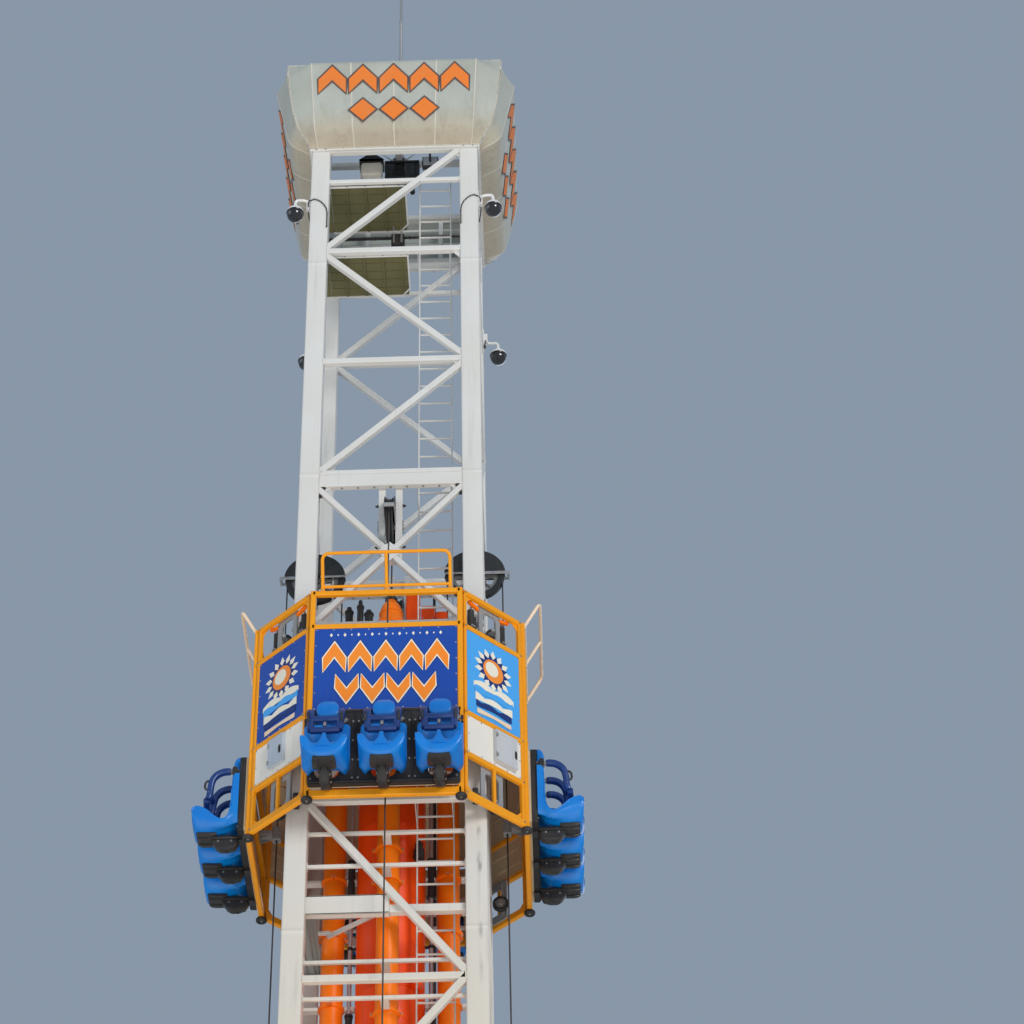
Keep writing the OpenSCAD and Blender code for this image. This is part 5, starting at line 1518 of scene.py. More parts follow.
mb = Mesh()
for x, z, r, h in ((-0.53, zt + 0.03, 0.045, 0.26), (-0.40, zt + 0.05, 0.038, 0.34), (-0.30, zt + 0.02, 0.05, 0.22)):
    mb.mat = 0
    mb.rev([(0.0, z), (r * 0.8, z), (r, z + 0.012), (r, z + h * 0.62), (r * 1.18, z + h * 0.64), (r * 1.18, z + h * 0.72), (r * 0.7, z + h * 0.76), (r * 0.62, z + h * 0.95), (r * 0.3, z + h), (0.0, z + h)], 20, Matrix.Translation((x, 0, 0)))
    mb.mat = 1
    mb.rod((x, 0, z - 0.06), (x, 0, z), 0.022, 14)
    mb.rod((x, 0, z - 0.014), (x, 0, z - 0.002), 0.040, 6)
mb.mat = 0
mb.tube([V(-0.53, 0, zt - 0.045), V(-0.40, 0, zt - 0.045), V(-0.30, 0, zt - 0.045), V(-0.18, 0, zt - 0.055), V(-0.11, 0, zt - 0.10), V(-0.09, 0, zt - 0.2), V(-0.09, 0, G + 2.79)], 0.028, 14)
mb.tube([V(-0.53, 0, zt - 0.045), V(-0.60, 0, zt - 0.05), V(-0.64, 0, zt - 0.09), V(-0.64, 0, G + 2.68)], 0.022, 12)
mb.mat = 1
mb.rod((-0.09, 0, G + 2.77), (-0.09, 0, G + 2.80), 0.05, 18)
mb.mat = 2
mb.box((-0.66, -0.03, G + 2.64), (-0.12, 0.03, G + 2.68), 0.004)
mb.box((-TI, -0.03, G + 2.64), (-0.66, 0.03, G + 2.68), 0.004)
mb.rod((-T + 0.08, 0, G + 2.66), (-TI + 0.004, 0, G + 2.66), 0.02, 12)
for x in (-0.64, -0.30):
    mb.box((x - 0.015, -0.02, G + 2.67), (x + 0.015, 0.02, zt - 0.06), 0.003)
# thin service pipe up the left side
mb.rod((-0.73, 0, G + 2.66), (-0.73, 0, G + 4.2), 0.014, 12)
mb.tube([V(-0.73, 0, G + 4.2), V(-0.74, 0.01, G + 4.24), V(-0.78, 0.03, G + 4.26), V(-0.99, 0.04, G + 4.26)], 0.014, 10)
make("air_fittings", mb, ["black_paint", "bolt_zinc", "tower_white"], "tower")

# clamped hose inside the rear truss
mb = Mesh()
hx, hy = 0.43, 0.955
mb.tube([V(hx, hy, G - 16.5 + 0.9 * i) for i in range(23)] + [V(hx - 0.006, hy - 0.01, HZ - 0.16)], 0.017, 12)
for z in [ZL0 - i * LOWP for i in range(1, 8)] + [ZL0, G + 0.233, G + 2.60, HZ - 0.10]:
    # clip round the hose on a tab from the truss bar
    mb.mat = 1
    mb.rod((hx, hy, z - 0.016), (hx, hy, z + 0.016), 0.021, 12)
    mb.box((hx - 0.012, hy + 0.014, z - 0.012), (hx + 0.012, T - 0.08, z + 0.012), 0.002)
    mb.box((hx - 0.028, T - 0.084, z - 0.022), (hx + 0.028, T - 0.08, z + 0.022), 0.001)
    mb.bolt((hx + 0.020, T - 0.084, z), (0, -1, 0), 0.005, 0.005)
    mb.mat = 0
make("ladder_hose", mb, ["rubber_black", "galvanised"], "tower")

# two service pipes between the tank and the side cylinders, with rubber joints and valve bodies
mb = Mesh()
for sx in (-1, 1):
    x = sx * 0.432
    mb.mat = 0
    z0, z1 = G - 5.9, G + (1.55 if sx < 0 else 1.95)
    mb.rod((x, -0.03, z0), (x, -0.03, z1), 0.024, 16)
    mb.tube([V(x, -0.03, z1 - 0.01), V(x, -0.03, z1 + 0.03), V(x - sx * 0.012, -0.03, z1 + 0.06), V(x - sx * 0.045, -0.03, z1 + 0.072), V(x - sx * 0.066, -0.03, z1 + 0.072)], 0.024, 14)
    for z in (G - 0.10, G - 2.02, G - 4.3):
        mb.mat = 1
        mb.rev([(0.026, z - 0.26), (0.040, z - 0.25)] + [(0.040 - 0.005 * (i % 2), z - 0.24 + 0.022 * i) for i in range(19)] + [(0.040, z + 0.18), (0.026, z + 0.19)], 20, Matrix.Translation((x, -0.03, 0)))
        mb.mat = 2
        for e in (-0.275, 0.20):
            mb.rod((x, -0.03, z + e - 0.012), (x, -0.03, z + e + 0.012), 0.047, 20)
            for i in range(4):
                a = math.pi / 4 + math.pi / 2 * i
                mb.bolt((x + 0.039 * math.cos(a), -0.03 + 0.039 * math.sin(a), z + e + 0.012), (0, 0, 1), 0.004, 0.004)
    for z in (G + 1.15, G - 1.0, G - 3.2, G - 5.4):
        # strap back to the tank
        mb.mat = 2
        mb.rod((x, -0.03, z - 0.018), (x, -0.03, z + 0.018), 0.030, 16)
        mb.box((min(x, sx * 0.366), -0.045, z - 0.014), (max(x, sx * 0.366), -0.015, z + 0.014), 0.003)
# solenoid valve on a pipe, with its coil and lead
mb.mat = 1
x, y, z = 0.315, -0.33, G + 0.02
mb.rev([(0.0, z - 0.10), (0.052, z - 0.10), (0.060, z - 0.09), (0.060, z + 0.02), (0.045, z + 0.035), (0.045, z + 0.10), (0.036, z + 0.115), (0.0, z + 0.115)], 24, Matrix.Translation((x, y, 0)))
mb.mat = 2
mb.rod((x - 0.01, y + 0.01, z - 0.03), (x - 0.075, y + 0.09, z - 0.03), 0.020, 14)
mb.rod((x, y, z + 0.115), (x, y, z + 0.145), 0.016, 12)
make("service_pipes", mb, ["galvanised", "rubber_black", "black_paint"], "tower")

# ================================================================ gondola
ZLOW, ZMID, ZUP, ZTOP = G + 0.513, G + 1.055, G + 2.226, G + 2.695

mb = Mesh()
for k in range(4):
    mb.M = Z90[k]
    for s in (-1, 1):
        mb.bar((s * RA, -RB, G - 0.045), (s * RA, -RB, G + 2.725), 0.06, 0.06, (1, 0, 0), 0.009)
        mb.box((s * RA - 0.024, -RB - 0.024, G + 2.725), (s * RA + 0.024, -RB + 0.024, G + 2.732), 0.003)
    mb.bar((-RA, -RB, G), (RA, -RB, G), 0.09, 0.06, (0, 0, 1), 0.010)
    for z in (ZLOW, ZMID, ZUP, ZTOP):
        mb.bar((-RA, -RB, z), (RA, -RB, z), 0.06, 0.06, (0, 0, 1), 0.009)
    for s in (-1, 1):      # weld beads where the rails meet the posts
        for z, h in ((G, 0.09), (ZLOW, 0.06), (ZMID, 0.06), (ZUP, 0.06), (ZTOP, 0.06)):
            mb.bar((s * (RA - 0.036), -RB, z), (s * (RA - 0.029), -RB, z), h + 0.006, 0.066, (0, 0, 1), 0.008)
    mb.mat = 1
    for s in (-1, 1):      # clamp bolts of the hoop and the hinge pins of the side
        for z in (G + 0.25, G + 1.2, G + 1.65, G + 2.1, G + 2.5):
            mb.bolt((s * (RA - 0.03), -RB + 0.008, z), (-s, 0, 0), 0.008, 0.007)
    mb.mat = 0
make("ring_side_frames_skin", mb, ["frame_yellow", "bolt_zinc"], "gondola", replaces="ring_side_frames")

mb = Mesh()
for k in range(4):
    mb.M = D45[k]
    mb.bar((-DE, -DG, G), (DE, -DG, G), 0.09, 0.06, (0, 0, 1), 0.010)
    for z in (ZLOW, ZMID, ZUP, ZTOP):
        mb.bar((-DE, -DG, z), (DE, -DG, z), 0.06, 0.06, (0, 0, 1), 0.009)
    for x in (-DE + 0.02, DE - 0.02):
        mb.bar((x, -DG, G), (x, -DG, ZTOP), 0.04, 0.05, (1, 0, 0), 0.007)
    mb.bar((0, -DG, G), (0, -DG, ZLOW), 0.04, 0.04, (1, 0, 0), 0.007)
    for z in (G + 0.048, ZLOW - 0.033):
        mb.bar((0, -DG, z - 0.003), (0, -DG, z + 0.003), 0.046, 0.046, (1, 0, 0), 0.008)
    # small gussets in the open top gap
    for s in (-1, 1):
        mb.extr([(s * (DE - 0.04), ZTOP - 0.03), (s * (DE - 0.13), ZTOP - 0.03), (s * (DE - 0.04), ZTOP - 0.12)], -0.004, 0.004, xz(-DG))
        mb.extr([(s * (DE - 0.04), G + 0.045), (s * (DE - 0.12), G + 0.045), (s * (DE - 0.04), G + 0.125)], -0.004, 0.004, xz(-DG))
    mb.mat = 1
    for s in (-1, 1):
        for z in (G, ZLOW, ZMID, ZUP, ZTOP):
            mb.bolt((s * (DE - 0.018), -DG - 0.030, z), (0, -1, 0), 0.0085, 0.007)
    mb.mat = 0
make("ring_corner_frames_skin", mb, ["frame_yellow", "bolt_zinc"], "gondola", replaces="ring_corner_frames")


# ---------------------------------------------------------------- panels
def panel(mb, hw, z0, z1, yf, back, mat=0, th=0.012):
    """A sheet panel with rolled edges; its screws are added by screws()."""
    mb.mat = mat
    zc = (z0 + z1) / 2
    h = z1 - z0
    for grow_, ya, yb in ((0.0, yf + 0.003, yf + th), (-0.004, yf, yf + 0.003)):
        mb.extr([(u, zc + v) for u, v in rsect(2 * (hw + grow_), h + 2 * grow_, 0.012, 3)], ya, yb, lambda u, v, w: V(u, w, v))
    # pale backing sheet on the inner side, with two ribs
    mb.mat = back
    mb.extr([(u, zc + v) for u, v in rsect(2 * hw - 0.03, h - 0.03, 0.02, 3)], yf + th, yf + th + 0.003, lambda u, v, w: V(u, w, v))
    for v in (-h / 5, h / 5):
        mb.box((-hw + 0.03, yf + th + 0.002, zc + v - 0.02), (hw - 0.03, yf + th + 0.016, zc + v + 0.02), 0.004)
    mb.mat = mat
    return zc


def lay_flat(mb, poly, y, t=0.0008):
    mb.extr(poly, y - t, y + 0.0004, lambda u, v, w: V(u, w, v))


def screws(mb, hw, z0, z1, y, nx, nz, mat):
    mb.mat = mat
    pts = [(-hw + 2 * hw * i / nx, z) for i in range(nx + 1) for z in (z0, z1)] + [(s * hw, z0 + (z1 - z0) * j / nz) for j in range(1, nz) for s in (-1, 1)]
    for x, z in pts:
        mb.rev([(0.0, 0.0), (0.009, 0.0), (0.008, 0.003), (0.004, 0.0048), (0.0, 0.005)][::-1], 12, Matrix.Translation((x, y, z)) @ Matrix.Rotation(math.pi / 2, 4, "X"))


mb = Mesh()
for k in range(4):
    mb.M = Z90[k]
    yf = -RB - 0.016
    zc = panel(mb, 0.783, G + 1.086, G + 2.195, yf, 5)
    # a band of small pale diamonds over two rows of large chevrons
    mb.mat = 2
    for i in range(17):
        x = -0.60 + 0.075 * i
        r = 0.026 if i % 2 == 0 else 0.015
        lay_flat(mb, [(x - r * 0.62, G + 2.105), (x, G + 2.105 - r), (x + r * 0.62, G + 2.105), (x, G + 2.105 + r)], yf)
    for i in range(5):
        p = chevron(-0.56 + 0.28 * i, G + 1.80, 0.245, 0.40, 0.19, 1)
        mb.mat = 3
        lay_flat(mb, grow(p, 0.024), yf)
        mb.mat = 2
        lay_flat(mb, grow(p, 0.014), yf - 0.0008)
        mb.mat = 1
        lay_flat(mb, p, yf - 0.0016)
    for i in range(4):
        p = chevron(-0.42 + 0.28 * i, G + 1.37, 0.245, 0.38, 0.18, -1)
        mb.mat = 3
        lay_flat(mb, grow(p, 0.024), yf)
        mb.mat = 2
        lay_flat(mb, grow(p, 0.014), yf - 0.0008)
        mb.mat = 1
        lay_flat(mb, p, yf - 0.0016)
    screws(mb, 0.765, G + 1.105, G + 2.178, yf, 8, 5, 4)
make("long_blue_panels_skin", mb, ["panel_blue", "motif_orange", "motif_cream", "panel_dark_blue", "bolt_zinc", "panel_beige"], "gondola", replaces="long_blue_panels")

mb = Mesh()
for k in range(4):
    mb.M = D45[k]
    yf = -DG - 0.016
    hw = DE - 0.0404
    # the right-hand corner panels take the light blue face: painted light, for the side the light falls on
    panel(mb, hw, G + 1.086, G + 2.195, yf, 8, mat=5 if k in (0, 1) else 0)
    # a sun over rolling waves
    cx_, cz_ = 0.0, G + 1.80
    mb.mat = 2
    lay_flat(mb, star(cx_, cz_, 0.285, 0.205, 14), yf)
    mb.mat = 3
    lay_flat(mb, star(cx_, cz_, 0.235, 0.165, 14, math.pi / 2 + math.pi / 14), yf - 0.0008)
    mb.mat = 1
    lay_flat(mb, circle(0.150, 36, cx_, cz_), yf - 0.0016)
    mb.mat = 2
    lay_flat(mb, circle(0.095, 32, cx_ - 0.02, cz_ + 0.02), yf - 0.0024)
    for j, (mt, amp, zz, lift) in enumerate(((2, 0.050, G + 1.53, 0.0032), (6, 0.045, G + 1.455, 0.0040), (2, 0.040, G + 1.36, 0.0048), (3, 0.030, G + 1.275, 0.0056), (7, 0.0, G + 1.19, 0.0056))):
        mb.mat = mt
        n = 28
        L = 0.30 - 0.012 * j
        top = [(-L + 2 * L * i / n, zz + amp * abs(math.sin(math.pi * (2.0 * i / n + 0.25 * j)))) for i in range(n + 1)]
        bot = [(L - 2 * L * i / n, zz - 0.052 - 0.010 * math.cos(math.pi * i / n * 2)) for i in range(n + 1)]
        lay_flat(mb, (top + bot)[::-1], yf - lift + 0.0008 * 0)
    screws(mb, hw - 0.018, G + 1.105, G + 2.178, yf, 4, 5, 4)
make("corner_blue_panels_skin", mb, ["panel_blue", "motif_orange", "motif_cream", "panel_dark_blue", "bolt_zinc", "light_blue_print_and_painted_lit_panel", "light_blue_print_and_painted_lit_panel", "hoop_pale", "panel_beige"], "gondola", replaces="corner_blue_panels")

mb = Mesh()
for k in range(4):
    mb.M = D45[k]
    yf = -DG - 0.016
    hw = DE - 0.0404
    panel(mb, hw, G + 0.5434, G + 1.0246, yf, 2)
    screws(mb, hw - 0.018, G + 0.562, G + 1.006, yf, 4, 2, 1)
    mb.mat = 0
    if k in (0, 2):      # riveted joint strip beside the box
        mb.box((-0.075, yf - 0.003, G + 0.548), (-0.045, yf, G + 1.020), 0.001)
make("corner_white_panels_skin", mb, ["panel_white", "bolt_zinc", "panel_beige"], "gondola", replaces="corner_white_panels")

mb = Mesh()
for k in range(4):
    mb.M = D45[k]
    if k in (0, 2):
        x0, x1, z0, z1, dp, mt = -0.02, 0.30, G + 0.59, G + 0.99, 0.060, 0
    else:
        x0, x1, z0, z1, dp, mt = -0.13, 0.11, G + 0.62, G + 0.98, 0.054, 1
    yb = -DG - 0.016
    yf = yb - dp
    mb.mat = mt
    xc, zc = (x0 + x1) / 2, (z0 + z1) / 2
    mb.extr([(xc + u, zc + v) for u, v in rsect(x1 - x0, z1 - z0, 0.014)], yb, yf + 0.010, lambda u, v, w: V(u, w, v))
    # door leaf with a raised field and a drip edge
    mb.extr([(xc + u, zc + v) for u, v in rsect(x1 - x0 - 0.014, z1 - z0 - 0.014, 0.012)], yf + 0.009, yf + 0.003, lambda u, v, w: V(u, w, v))
    for a in (0,):
        o, i_ = rsect(x1 - x0 - 0.075, z1 - z0 - 0.075, 0.016), rsect(x1 - x0 - 0.095, z1 - z0 - 0.095, 0.010)
        plate(mb, [(xc + u, zc + v) for u, v in o], [[(xc + u, zc + v) for u, v in i_]], yf + 0.004, yf, lambda u, v, w: V(u, w, v))
    mb.box((x0 - 0.004, yf + 0.004, z1 - 0.006), (x1 + 0.004, yb, z1 + 0.004), 0.002)
    mb.mat = 2
    # sprung handle in a dished plate, hinges on the other edge
    hx_ = x1 - 0.034
    mb.extr([(hx_ + u, zc - 0.02 + v) for u, v in rsect(0.030, 0.105, 0.010)], yf + 0.004, yf - 0.0005, lambda u, v, w: V(u, w, v))
    mb.tube([V(hx_, yf + 0.001, zc - 0.055), V(hx_, yf - 0.009, zc - 0.050), V(hx_, yf - 0.011, zc - 0.02), V(hx_, yf - 0.009, zc + 0.010), V(hx_, yf + 0.001, zc + 0.015)], 0.006, 8)
    mb.mat = 3
    for z in (z0 + 0.07, z1 - 0.07):
        mb.rod((x0 + 0.003, yf + 0.002, z - 0.028), (x0 + 0.003, yf + 0.002, z + 0.028), 0.007, 12)
        mb.box((x0 + 0.004, yf + 0.000, z - 0.022), (x0 + 0.028, yf + 0.004, z + 0.022), 0.001)
make("access_boxes_skin", mb, ["bracket_grey_light", "box_blue_grey", "rubber_black", "bolt_zinc"], "gondola", replaces="access_boxes")

# ---------------------------------------------------------------- seat boards
mb = Mesh()
for k in range(4):
    mb.M = Z90[k]
    outer = [(u, G + 0.53 + v) for u, v in rsect(1.616, 0.96, 0.03)]
    holes = []
    for xc in (-0.6, 0.0, 0.6):
        holes.append([(xc + u, G + 0.270 + v) for u, v in rsect(0.27, 0.30, 0.085, 6)][::-1])
    mb.mat = 0
    plate(mb, outer, holes, -1.610, -1.546, lambda u, v, w: V(u, w, v))
    # pale inner face behind the black moulding
    inner_o = [(u, G + 0.53 + v) for u, v in rsect(1.60, 0.944, 0.025)]
    mb.mat = 1
    plate(mb, inner_o, holes, -1.546, -1.520, lambda u, v, w: V(u, w, v))
    mb.mat = 0
    for xc in (-0.6, 0.0, 0.6):      # rolled lip round each opening
        lip = [V(xc + u, -1.606, G + 0.270 + v) for u, v in rsect(0.278, 0.308, 0.089, 6)]
        mb.tube(lip, 0.008, 6, closed=True, up=(0, 1, 0))
    for x in (-0.30, 0.30):          # ribs between the seats
        mb.box((x - 0.012, -1.624, G + 0.07), (x + 0.012, -1.608, G + 0.98), 0.006)
    for z in (G + 0.075, G + 0.985):
        mb.box((-0.79, -1.620, z - 0.012), (0.79, -1.608, z + 0.012), 0.005)
    mb.mat = 2
    for x in (-0.77, -0.33, -0.27, 0.27, 0.33, 0.77):
        for z in (G + 0.12, G + 0.35, G + 0.60, G + 0.85):
            mb.bolt((x, -1.610, z), (0, -1, 0), 0.009, 0.008)
            mb.bolt((x, -1.520, z), (0, 1, 0), 0.009, 0.008)
make("seat_boards_skin", mb, ["board_black", "panel_beige", "bolt_zinc"], "gondola", replaces="seat_boards")

# ---------------------------------------------------------------- seats
BD = 1.610


def catmull(pts, n):
    """Smooth open curve through pts, n steps a span."""
    out = []
    for i in range(len(pts) - 1):
        p0 = Vector(pts[max(i - 1, 0)])
        p1, p2 = Vector(pts[i]), Vector(pts[i + 1])
        p3 = Vector(pts[min(i + 2, len(pts) - 1)])
        for j in range(n):
            t = j / n
            out.append(0.5 * ((2 * p1) + (p2 - p0) * t + (2 * p0 - 5 * p1 + 4 * p2 - p3) * t * t + (3 * p1 - p0 - 3 * p2 + p3) * t ** 3))
    out.append(Vector(pts[-1]))
    return out


C_ = [(0.002, 0.768), (0.040, 0.772), (0.064, 0.752), (0.060, 0.56), (0.060, 0.42), (0.066, 0.310), (0.088, 0.225), (0.130, 0.172), (0.180, 0.162), (0.250, 0.182), (0.330, 0.220), (0.410, 0.250), (0.462, 0.250), (0.484, 0.215), (0.488, 0.170), (0.468, 0.094), (0.33, 0.070), (0.20, 0.098), (0.085, 0.150), (0.002, 0.262)]
B_ = [(0.002, 0.768), (0.045, 0.774), (0.076, 0.745), (0.082, 0.56), (0.082, 0.42), (0.084, 0.310), (0.108, 0.225), (0.150, 0.184), (0.200, 0.186), (0.260, 0.228), (0.340, 0.305), (0.425, 0.350), (0.470, 0.345), (0.496, 0.290), (0.498, 0.200), (0.474, 0.094), (0.33, 0.068), (0.20, 0.072), (0.06, 0.082), (0.002, 0.097)]
RIM = [(0.0, 0.350), (0.080, 0.350), (0.108, 0.225), (0.150, 0.184), (0.200, 0.186), (0.260, 0.228), (0.340, 0.305), (0.425, 0.350), (0.60, 0.352)]


def lifted(p, s):
    """The bucket's rounded hull: its lower side rises to the rim towards the outer edges."""
    f = max(0.0, min(0.59, p.x))
    for (fa, za), (fb, zb) in zip(RIM, RIM[1:]):
        if f <= fb:
            top = za + (zb - za) * (f - fa) / (fb - fa)
            break
    if p.y >= top:
        return p
    rise = 0.74 * (top - 0.075) * (1 - math.sqrt(max(0.0, 1 - min(1.0, s) ** 2.6)))
    return Vector((p.x, p.y + rise * (top - p.y) / (top - 0.075)))


def smooth(t):
    t = max(0.0, min(1.0, t))
    return t * t * (3 - 2 * t)


def seat_shell(mb, x0):
    """Moulded bucket: sections across the seat, from one bolster to the other."""
    NX = 40
    c, b = catmull(C_, 3), catmull(B_, 3)
    rings = []
    for i in range(NX + 1):
        x = 0.245 * math.sin(math.pi * (i / NX - 0.5))
        ax = abs(x)
        w = smooth((ax - 0.115) / 0.085)
        # round the outer edge over
        e = smooth((ax - 0.222) / 0.023)
        ring = []
        for j in range(len(c)):
            p = c[j].lerp(b[j], w)
            if p.x > 0.012 and p.y > 0.30:
                p = Vector((p.x - 0.014 * e * smooth((p.x - 0.012) / 0.03), p.y - (0.012 * e if p.y > 0.70 or p.x > 0.3 else 0.0)))
            elif 9 < j < 39:
                p = Vector((p.x, p.y - 0.008 * e))
            p = lifted(p, ax / 0.247)
            ring.append(V(x0 + x, -(BD + p.x), G + p.y))
        rings.append(ring)
    mb.loft(rings)


def horn(mb, x0):
    """Pommel between the legs: a cusp that runs out into the pan's lip."""
    rings = []
    n = 24
    for i in range(15):
        t = i / 14
        z = 0.190 + 0.200 * t
        hw = 0.026 + 0.125 * (1 - t) ** 2.4
        f0 = 0.345 + 0.045 * t
        f1 = 0.497 - 0.040 * t ** 2 + 0.004
        if i == 14:
            hw, f0, f1 = 0.018, 0.405, 0.440
        fc, hf = (f0 + f1) / 2, (f1 - f0) / 2
        ring = []
        for j in range(n):
            a = 2 * math.pi * j / n
            ca, sa = math.cos(a), math.sin(a)
            ring.append(V(x0 + hw * math.copysign(abs(ca) ** 0.85, ca), -(BD + fc + hf * math.copysign(abs(sa) ** 0.85, sa)), G + z))
        rings.append(ring)
    mb.loft(rings)
    top = rings[-1]
    cc = sum(top, V(0, 0, 0)) / n
    mb.loft([top, [cc + (p - cc) * 0.55 + V(0, 0, 0.004) for p in top]])


def headrest(mb, x0):
    rows = [(0.755, 0.118, 0.0135), (0.872, 0.118, 0.0135), (0.880, 0.088, 0.060), (0.888, 0.102, 0.074), (0.905, 0.113, 0.083), (0.930, 0.119, 0.086), (0.965, 0.121, 0.085), (1.000, 0.118, 0.079), (1.035, 0.110, 0.069), (1.065, 0.096, 0.056), (1.090, 0.076, 0.041), (1.108, 0.050, 0.026), (1.119, 0.022, 0.013)]
    rings = []
    for z, hw, f in rows:
        r = min(0.02, f * 0.45)
        rings.append([V(x0 + u, -(BD + f / 2 + v), G + z) for u, v in rsect(2 * hw, f, r, 4)])
    mb.loft(rings)


for k in range(4):
    mb = Mesh()
    mb.M = Z90[k]
    for xc in (-0.6, 0.0, 0.6):
        mb.mat = 0
        seat_shell(mb, xc)
        horn(mb, xc)
        headrest(mb, xc)
        # rolled rim along the shell's edge, and the dark frame under the pan
        for s in (-1, 1):
            edge = [V(xc + s * 0.2385, -(BD + p.x), G + p.y - 0.010) for p in catmull(B_[3:14], 4)]
            mb.tube([q + V(0, 0.006 if q.z > G + 0.36 else 0.0, 0.0) for q in edge], 0.0095, 8)
            rings = []
            for i in range(13):
                t = i / 12
                f = 0.11 + 0.345 * t
                zc_ = 0.120 + 0.125 * smooth((f - 0.20) / 0.22)
                rings.append([V(xc + s * (0.2385 - 0.030 * (1 - t)) + u * 0.6, -(BD + f), G + zc_ + v) for u, v in circle(0.0075, 8)])
            mb.loft(rings)
        mb.mat = 3
        rings = []
        for i in range(9):
            t = i / 8
            f = 0.235 + 0.217 * t
            hw = 0.124 - 0.014 * abs(2 * t - 1) ** 3
            zb = 0.046 + 0.022 * (2 * t - 1) ** 4
            rings.append([V(xc + u, -(BD + f), G + (zb + 0.096) / 2 + v) for u, v in rsect(2 * hw, 0.096 - zb, 0.010, 3)])
        mb.loft(rings)
        for s in (-1, 1):
            mb.box((xc + s * 0.062 - 0.007, -(BD + 0.44), G + 0.034), (xc + s * 0.062 + 0.007, -(BD + 0.002), G + 0.074), 0.003)
        # belt slots and drain grommets
        mb.mat = 2
        for s in (-1, 1):
            mb.rod((xc + s * 0.09, -(BD + 0.26), G + 0.178), (xc + s * 0.09, -(BD + 0.26), G + 0.1905), 0.011, 14)
            mb.bolt((xc + s * 0.06, -(BD + 0.059), G + 0.68), (0, -1, 0), 0.009, 0.006)
            mb.bolt((xc + s * 0.06, -(BD + 0.058), G + 0.54), (0, -1, 0), 0.009, 0.006)
        # ears, shaft and its end caps
        mb.mat = 3
        for s in (-1, 1):
            xa, xb = (0.222, 0.242) if s > 0 else (-0.242, -0.222)
            ear = [(0.0, 0.735), (0.060, 0.735), (0.083, 0.770), (0.083, 0.825)] + [(0.055 + 0.028 * math.cos(math.radians(a)), 0.825 + 0.030 * math.sin(math.radians(a))) for a in range(15, 166, 15)] + [(0.020, 0.81), (0.0, 0.78)]
            mb.extr([(-(BD + f), G + z) for f, z in ear], xc + xa, xc + xb, yz(0))
            mb.bolt((xc + s * 0.242, -(BD + 0.030), G + 0.785), (s, 0, 0), 0.008, 0.005)
            mb.bolt((xc + s * 0.242, -(BD + 0.055), G + 0.825), (s, 0, 0), 0.016, 0.002)
        mb.mat = 2
        mb.rod((xc - 0.23, -(BD + 0.055), G + 0.825), (xc + 0.23, -(BD + 0.055), G + 0.825), 0.018, 24)
    make(SIDES[k] + "_seats_skin", mb, ["seat_azure", "seat_navy", "bolt_zinc", "black_paint"], "gondola", replaces=SIDES[k] + "_seats", angle=48)

mb = Mesh()
for k in range(4):
    mb.M = Z90[k]
    for xc in (-0.6, 0.0, 0.6):
        mb.mat = 0
        # waisted post from the board's foot up to the pan, with a curved arm under it
        rings = []
        for z, hw, f0, f1 in ((-0.085, 0.040, 0.10, 0.20), (-0.06, 0.048, 0.035, 0.235), (0.0, 0.044, 0.004, 0.285), (0.06, 0.034, 0.004, 0.31), (0.085, 0.034, 0.02, 0.32), (0.10, 0.036, 0.10, 0.32)):
            rings.append([V(xc + u, -(BD + (f0 + f1) / 2 + v), G + z) for u, v in rsect(2 * hw, f1 - f0, 0.018, 4)])
        mb.loft(rings)
        rings = []
        for z, hw, f in ((0.02, 0.058, 0.0), (0.07, 0.040, 0.0), (0.14, 0.030, 0.0), (0.22, 0.030, 0.0), (0.30, 0.040, 0.0), (0.38, 0.060, 0.0), (0.43, 0.090, 0.0)):
            rings.append([V(xc + u, -(1.578 + v), G + z) for u, v in rsect(2 * hw, 0.066, 0.014, 4)])
        mb.loft(rings)
        # stiffening ribs and mounting feet
        for s in (-1, 1):
            mb.extr([(-(BD + 0.02), G + 0.055), (-(BD + 0.31), G + 0.055), (-(BD + 0.24), G - 0.05), (-(BD + 0.04), G - 0.03)], xc + s * 0.048 - 0.004, xc + s * 0.048 + 0.004, yz(0))
        mb.mat = 1
        for s in (-1, 1):
            for f in (0.08, 0.22):
                mb.bolt((xc + s * 0.052, -(BD + f), G + 0.015), (s, 0, 0), 0.009, 0.008)
        mb.mat = 2
        mb.tube([V(xc - 0.03, -(BD + 0.06), G - 0.06), V(xc - 0.025, -(BD + 0.12), G - 0.088), V(xc + 0.0, -(BD + 0.2), G - 0.080), V(xc + 0.02, -(BD + 0.24), G - 0.03)], 0.008, 8)
make("seat_pedestals_skin", mb, ["black_paint", "bolt_zinc", "rubber_black"], "gondola", replaces="seat_pedestals", angle=48)

